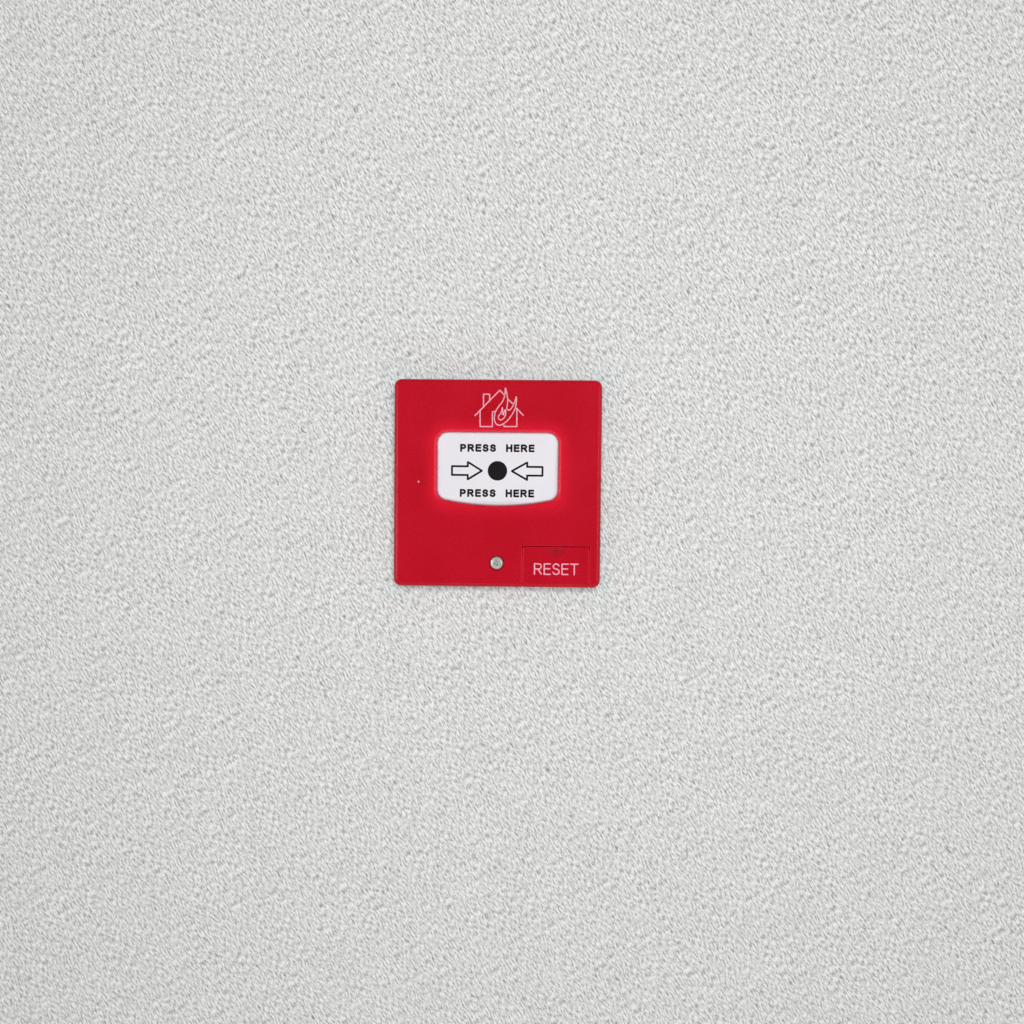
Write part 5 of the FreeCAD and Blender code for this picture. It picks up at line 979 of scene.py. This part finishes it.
# %% Tree for a solder joint
joint_tree, given = new_tree("solder_joint", Foot=float, Tip=float, Height=float, Finish=bpy.types.Material)
body = add(joint_tree, "GeometryNodeMeshCylinder",
           {"Vertices": 24, "Side Segments": 8, "Radius": 1.0, "Depth": 1.0}, fill_type="NGON")
where = add(joint_tree, "ShaderNodeSeparateXYZ",
            {0: add(joint_tree, "GeometryNodeInputPosition").outputs[0]}).outputs
up = add(joint_tree, "ShaderNodeMath", {0: where[2], 1: 0.5}, operation="ADD").outputs[0]
left_over = add(joint_tree, "ShaderNodeMath", {0: 1.0, 1: up}, operation="SUBTRACT").outputs[0]
left_over = add(joint_tree, "ShaderNodeMath", {0: left_over, 1: 2.6}, operation="POWER").outputs[0]
skirt = add(joint_tree, "ShaderNodeMath", {0: given["Foot"], 1: given["Tip"]},
            operation="SUBTRACT").outputs[0]
skirt = add(joint_tree, "ShaderNodeMath", {0: left_over, 1: skirt}, operation="MULTIPLY").outputs[0]
wide = add(joint_tree, "ShaderNodeMath", {0: given["Tip"], 1: skirt}, operation="ADD").outputs[0]
spot_x = add(joint_tree, "ShaderNodeMath", {0: where[0], 1: wide}, operation="MULTIPLY").outputs[0]
spot_y = add(joint_tree, "ShaderNodeMath", {0: where[1], 1: wide}, operation="MULTIPLY").outputs[0]
spot_z = add(joint_tree, "ShaderNodeMath", {0: up, 1: given["Height"]}, operation="MULTIPLY").outputs[0]
spot = add(joint_tree, "ShaderNodeCombineXYZ", {0: spot_x, 1: spot_y, 2: spot_z}).outputs[0]
cone = add(joint_tree, "GeometryNodeSetPosition", {"Geometry": body.outputs[0], "Position": spot})
cone = add(joint_tree, "GeometryNodeSetShadeSmooth", {0: cone.outputs[0]})
joints = add(joint_tree, "GeometryNodeInstanceOnPoints",
             {"Points": given["Geometry"], "Instance": cone.outputs[0]})
end_tree(joint_tree, joints.outputs[0], given["Finish"])


# %% Solder joints
def solder_joints(name, places, level, facing, foot, tip, height):
    """Solder on legs at places (x, z) in mm, on the face of the board at the level y."""
    sign = 1 if facing is FACE_ROOM else -1
    return grow(name, dots(name, [(x, sign * z, 0) for x, z in places]), joint_tree, "housing", "tinned_wire",
                place(0, level, 0, facing), Foot=foot * MM, Tip=tip * MM, Height=height * MM, Finish=solder)


SWITCH_PINS = [(x, 5.3) for x in (-7.68, -2.6, 2.48)]
WIRE_LEGS = ([(RESISTOR_X + side * 4.59, z) for z in (-14.0, -18.5, -23.0) for side in (-1, 1)]
             + [(DIODE_X + side * 3.94, -22.5) for side in (-1, 1)]
             + [(CAPACITOR_X, CAPACITOR_Z + side * 1.27) for side in (-1, 1)])
solder_joints("switch_joints", SWITCH_PINS, BOARD_BACK, FACE_WALL, 1.05, 0.55, 1.0)
solder_joints("terminal_joints", TERMINAL_SCREWS, BOARD_FRONT, FACE_ROOM, 1.05, 0.5, 0.5)
solder_joints("wire_joints", WIRE_LEGS, BOARD_FRONT, FACE_ROOM, 0.8, 0.3, 0.5)
VIAS = [(-27.6, 17.5), (-27.6, 12.9), (20.5, 8.0), (-21.5, 2.0), (9.0, -8.5), (27.5, -13.5)]
solder_joints("board_vias", VIAS, BOARD_BACK, FACE_WALL, 0.5, 0.25, 0.12)

# %% Legend
white_ink, tree, shader, in_mm = new_finish("ink_white_screen_printed", Roughness=0.55, IOR=1.5)
pattern = add(tree, "ShaderNodeTexNoise", {"Vector": in_mm, "Scale": 1 / 0.7}).outputs[0]
paint = add(tree, "ShaderNodeMix", {0: pattern, 6: "DADBD6", 7: "ECEDE8"}, data_type="RGBA").outputs[2]
tree.links.new(paint, shader.inputs["Base Color"])
relief = add(tree, "ShaderNodeTexNoise", {"Vector": in_mm, "Scale": 1 / 0.4}).outputs[0]
rough_surface(tree, shader, relief, 0.004)


def frame_line(x0, z0, x1, z1):
    return [(x0, z0), (x1, z0), (x1, z1), (x0, z1)]


def ring_line(x, z, radius, steps=32):
    return [(x + radius * math.cos(2 * math.pi * k / steps), z + radius * math.sin(2 * math.pi * k / steps))
            for k in range(steps)]


LEGEND = [frame_line(-11.2, -22.0, 11.2, -12.0), frame_line(-9.5, 1.9, 4.3, 8.7), ring_line(17.5, -14.0, 3.7),
          frame_line(17.9, -24.3, 24.1, -20.7)]
LEGEND += [frame_line(-24.0, z - 1.6, -17.0, z + 1.6) for z in (-14.0, -18.5, -23.0)]
board_lines("board_legend", LEGEND, range(len(LEGEND)), 0.18, 0.02, white_ink)

# %% [markdown]
# ## Printing
# The words, arrows and dot are pad-printed in black on the plate, and the pictogram and RESET are
# printed in a pinkish white on the red. Ink lies on the plastic as a film, so each mark is a thin
# closed piece that stands 0.02 mm proud.

# %% Words, arrows and dot on the plate
PLATE_FACE = -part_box("operating_plate")[0].y / MM
COVER_FACE = -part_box("front_cover")[0].y / MM
print("plate face and cover face:", round(PLATE_FACE, 3), round(COVER_FACE, 3))

BOLD_PEN = 0.84
words = []
for low, high in ((13.1, 16.3), (-5.6, -2.35)):
    words += lettering("PRESS", -15.55, -0.65, low, high, BOLD_PEN)
    words += lettering("HERE", 3.45, 15.25, low, high, BOLD_PEN)
strokes("print_words", words, (), BOLD_PEN, 0.03, PLATE_FACE, "operating_plate", "plate_white", black_ink)


def arrow(tail, back, tip, middle=5.25, shaft=1.8, head=3.6):
    """Outline of an arrow that points from its tail to its tip."""
    return [(tail, middle - shaft), (back, middle - shaft), (back, middle - head), (tip, middle),
            (back, middle + head), (back, middle + shaft), (tail, middle + shaft)]


strokes("print_arrows", [arrow(-18.85, -12.3, -6.45), arrow(18.65, 12.3, 5.95)], (0, 1), 0.84, 0.04,
        PLATE_FACE, "operating_plate", "plate_white", black_ink)

DOT_RADIUS, DOT_Z, DOT_SIDES = 4.05, 5.3, 64
disc = bmesh.new()
bmesh.ops.create_cone(disc, cap_ends=True, segments=DOT_SIDES, radius1=DOT_RADIUS * MM,
                      radius2=DOT_RADIUS * MM, depth=2 * INK_PROUD * MM,
                      matrix=place(0, -PLATE_FACE, DOT_Z))
dot = new_object("print_dot", bpy.data.meshes.new("print_dot"))
disc.to_mesh(dot.data)
disc.free()
dot.data.materials.append(black_ink)
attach(dot, "operating_plate")
print(f"print_dot: {len(dot.data.polygons)} faces")

# %% Burning house on the cover
HOUSE = [
    [(-9.55, 27.85), (0.68, 38.55), (2.69, 36.5)],
    [(4.15, 34.85), (6.4, 32.66)],
    [(7.62, 31.25), (10.55, 28.15)],
    [(-6.0, 31.6), (-6.0, 36.85), (-3.45, 36.85), (-3.45, 34.3)],
    [(-7.35, 30.1), (-7.35, 23.5), (-2.27, 23.5), (-2.27, 29.7), (-1.16, 29.7)],
    [(2.5, 24.5), (2.6, 23.6), (7.85, 23.6), (7.8, 30.9)],
]
FLAMES = [
    [(2.9, 39.4), (2.95, 38.1), (2.65, 36.1), (1.85, 33.9), (0.45, 32.1), (-0.65, 30.4), (-1.3, 28.6),
     (-1.45, 26.7), (-0.95, 25.0), (0.1, 24.2), (1.15, 24.15), (2.25, 24.7), (3.85, 26.0), (5.55, 28.1),
     (6.85, 30.45), (7.35, 32.2), (7.6, 34.1), (7.55, 36.0)],
    [(7.55, 36.0), (7.2, 34.7), (6.65, 33.1), (6.0, 31.85), (5.25, 30.75), (4.35, 30.35), (3.7, 30.9),
     (3.7, 31.85), (4.0, 33.75), (3.9, 35.5), (3.55, 37.5), (3.15, 39.1), (2.9, 39.4)],
    [(1.8, 31.5), (1.65, 30.4), (1.1, 29.0), (0.27, 27.85), (0.25, 27.05), (1.1, 26.25), (2.1, 26.75),
     (2.95, 27.7), (3.2, 29.0), (3.1, 30.7)],
    [(1.8, 31.5), (1.95, 30.2), (2.15, 29.0), (2.65, 28.2)],
    [(3.1, 30.7), (2.65, 29.8), (2.25, 28.8), (1.55, 28.6)],
]
strokes("print_house", HOUSE, (), 0.48, 0.10, COVER_FACE, "housing", "cover_red", pink_ink)
strokes("print_flames", FLAMES, (), 0.46, 0.0, COVER_FACE, "housing", "cover_red", pink_ink, flowing=True)

# %% RESET on the door
THIN_PEN = 0.52
strokes("print_reset", lettering("RESET", 15.5, 34.0, -37.65, -32.8, THIN_PEN), (), THIN_PEN, 0.03,
        COVER_FACE, "reset_door", "cover_red", pink_ink)
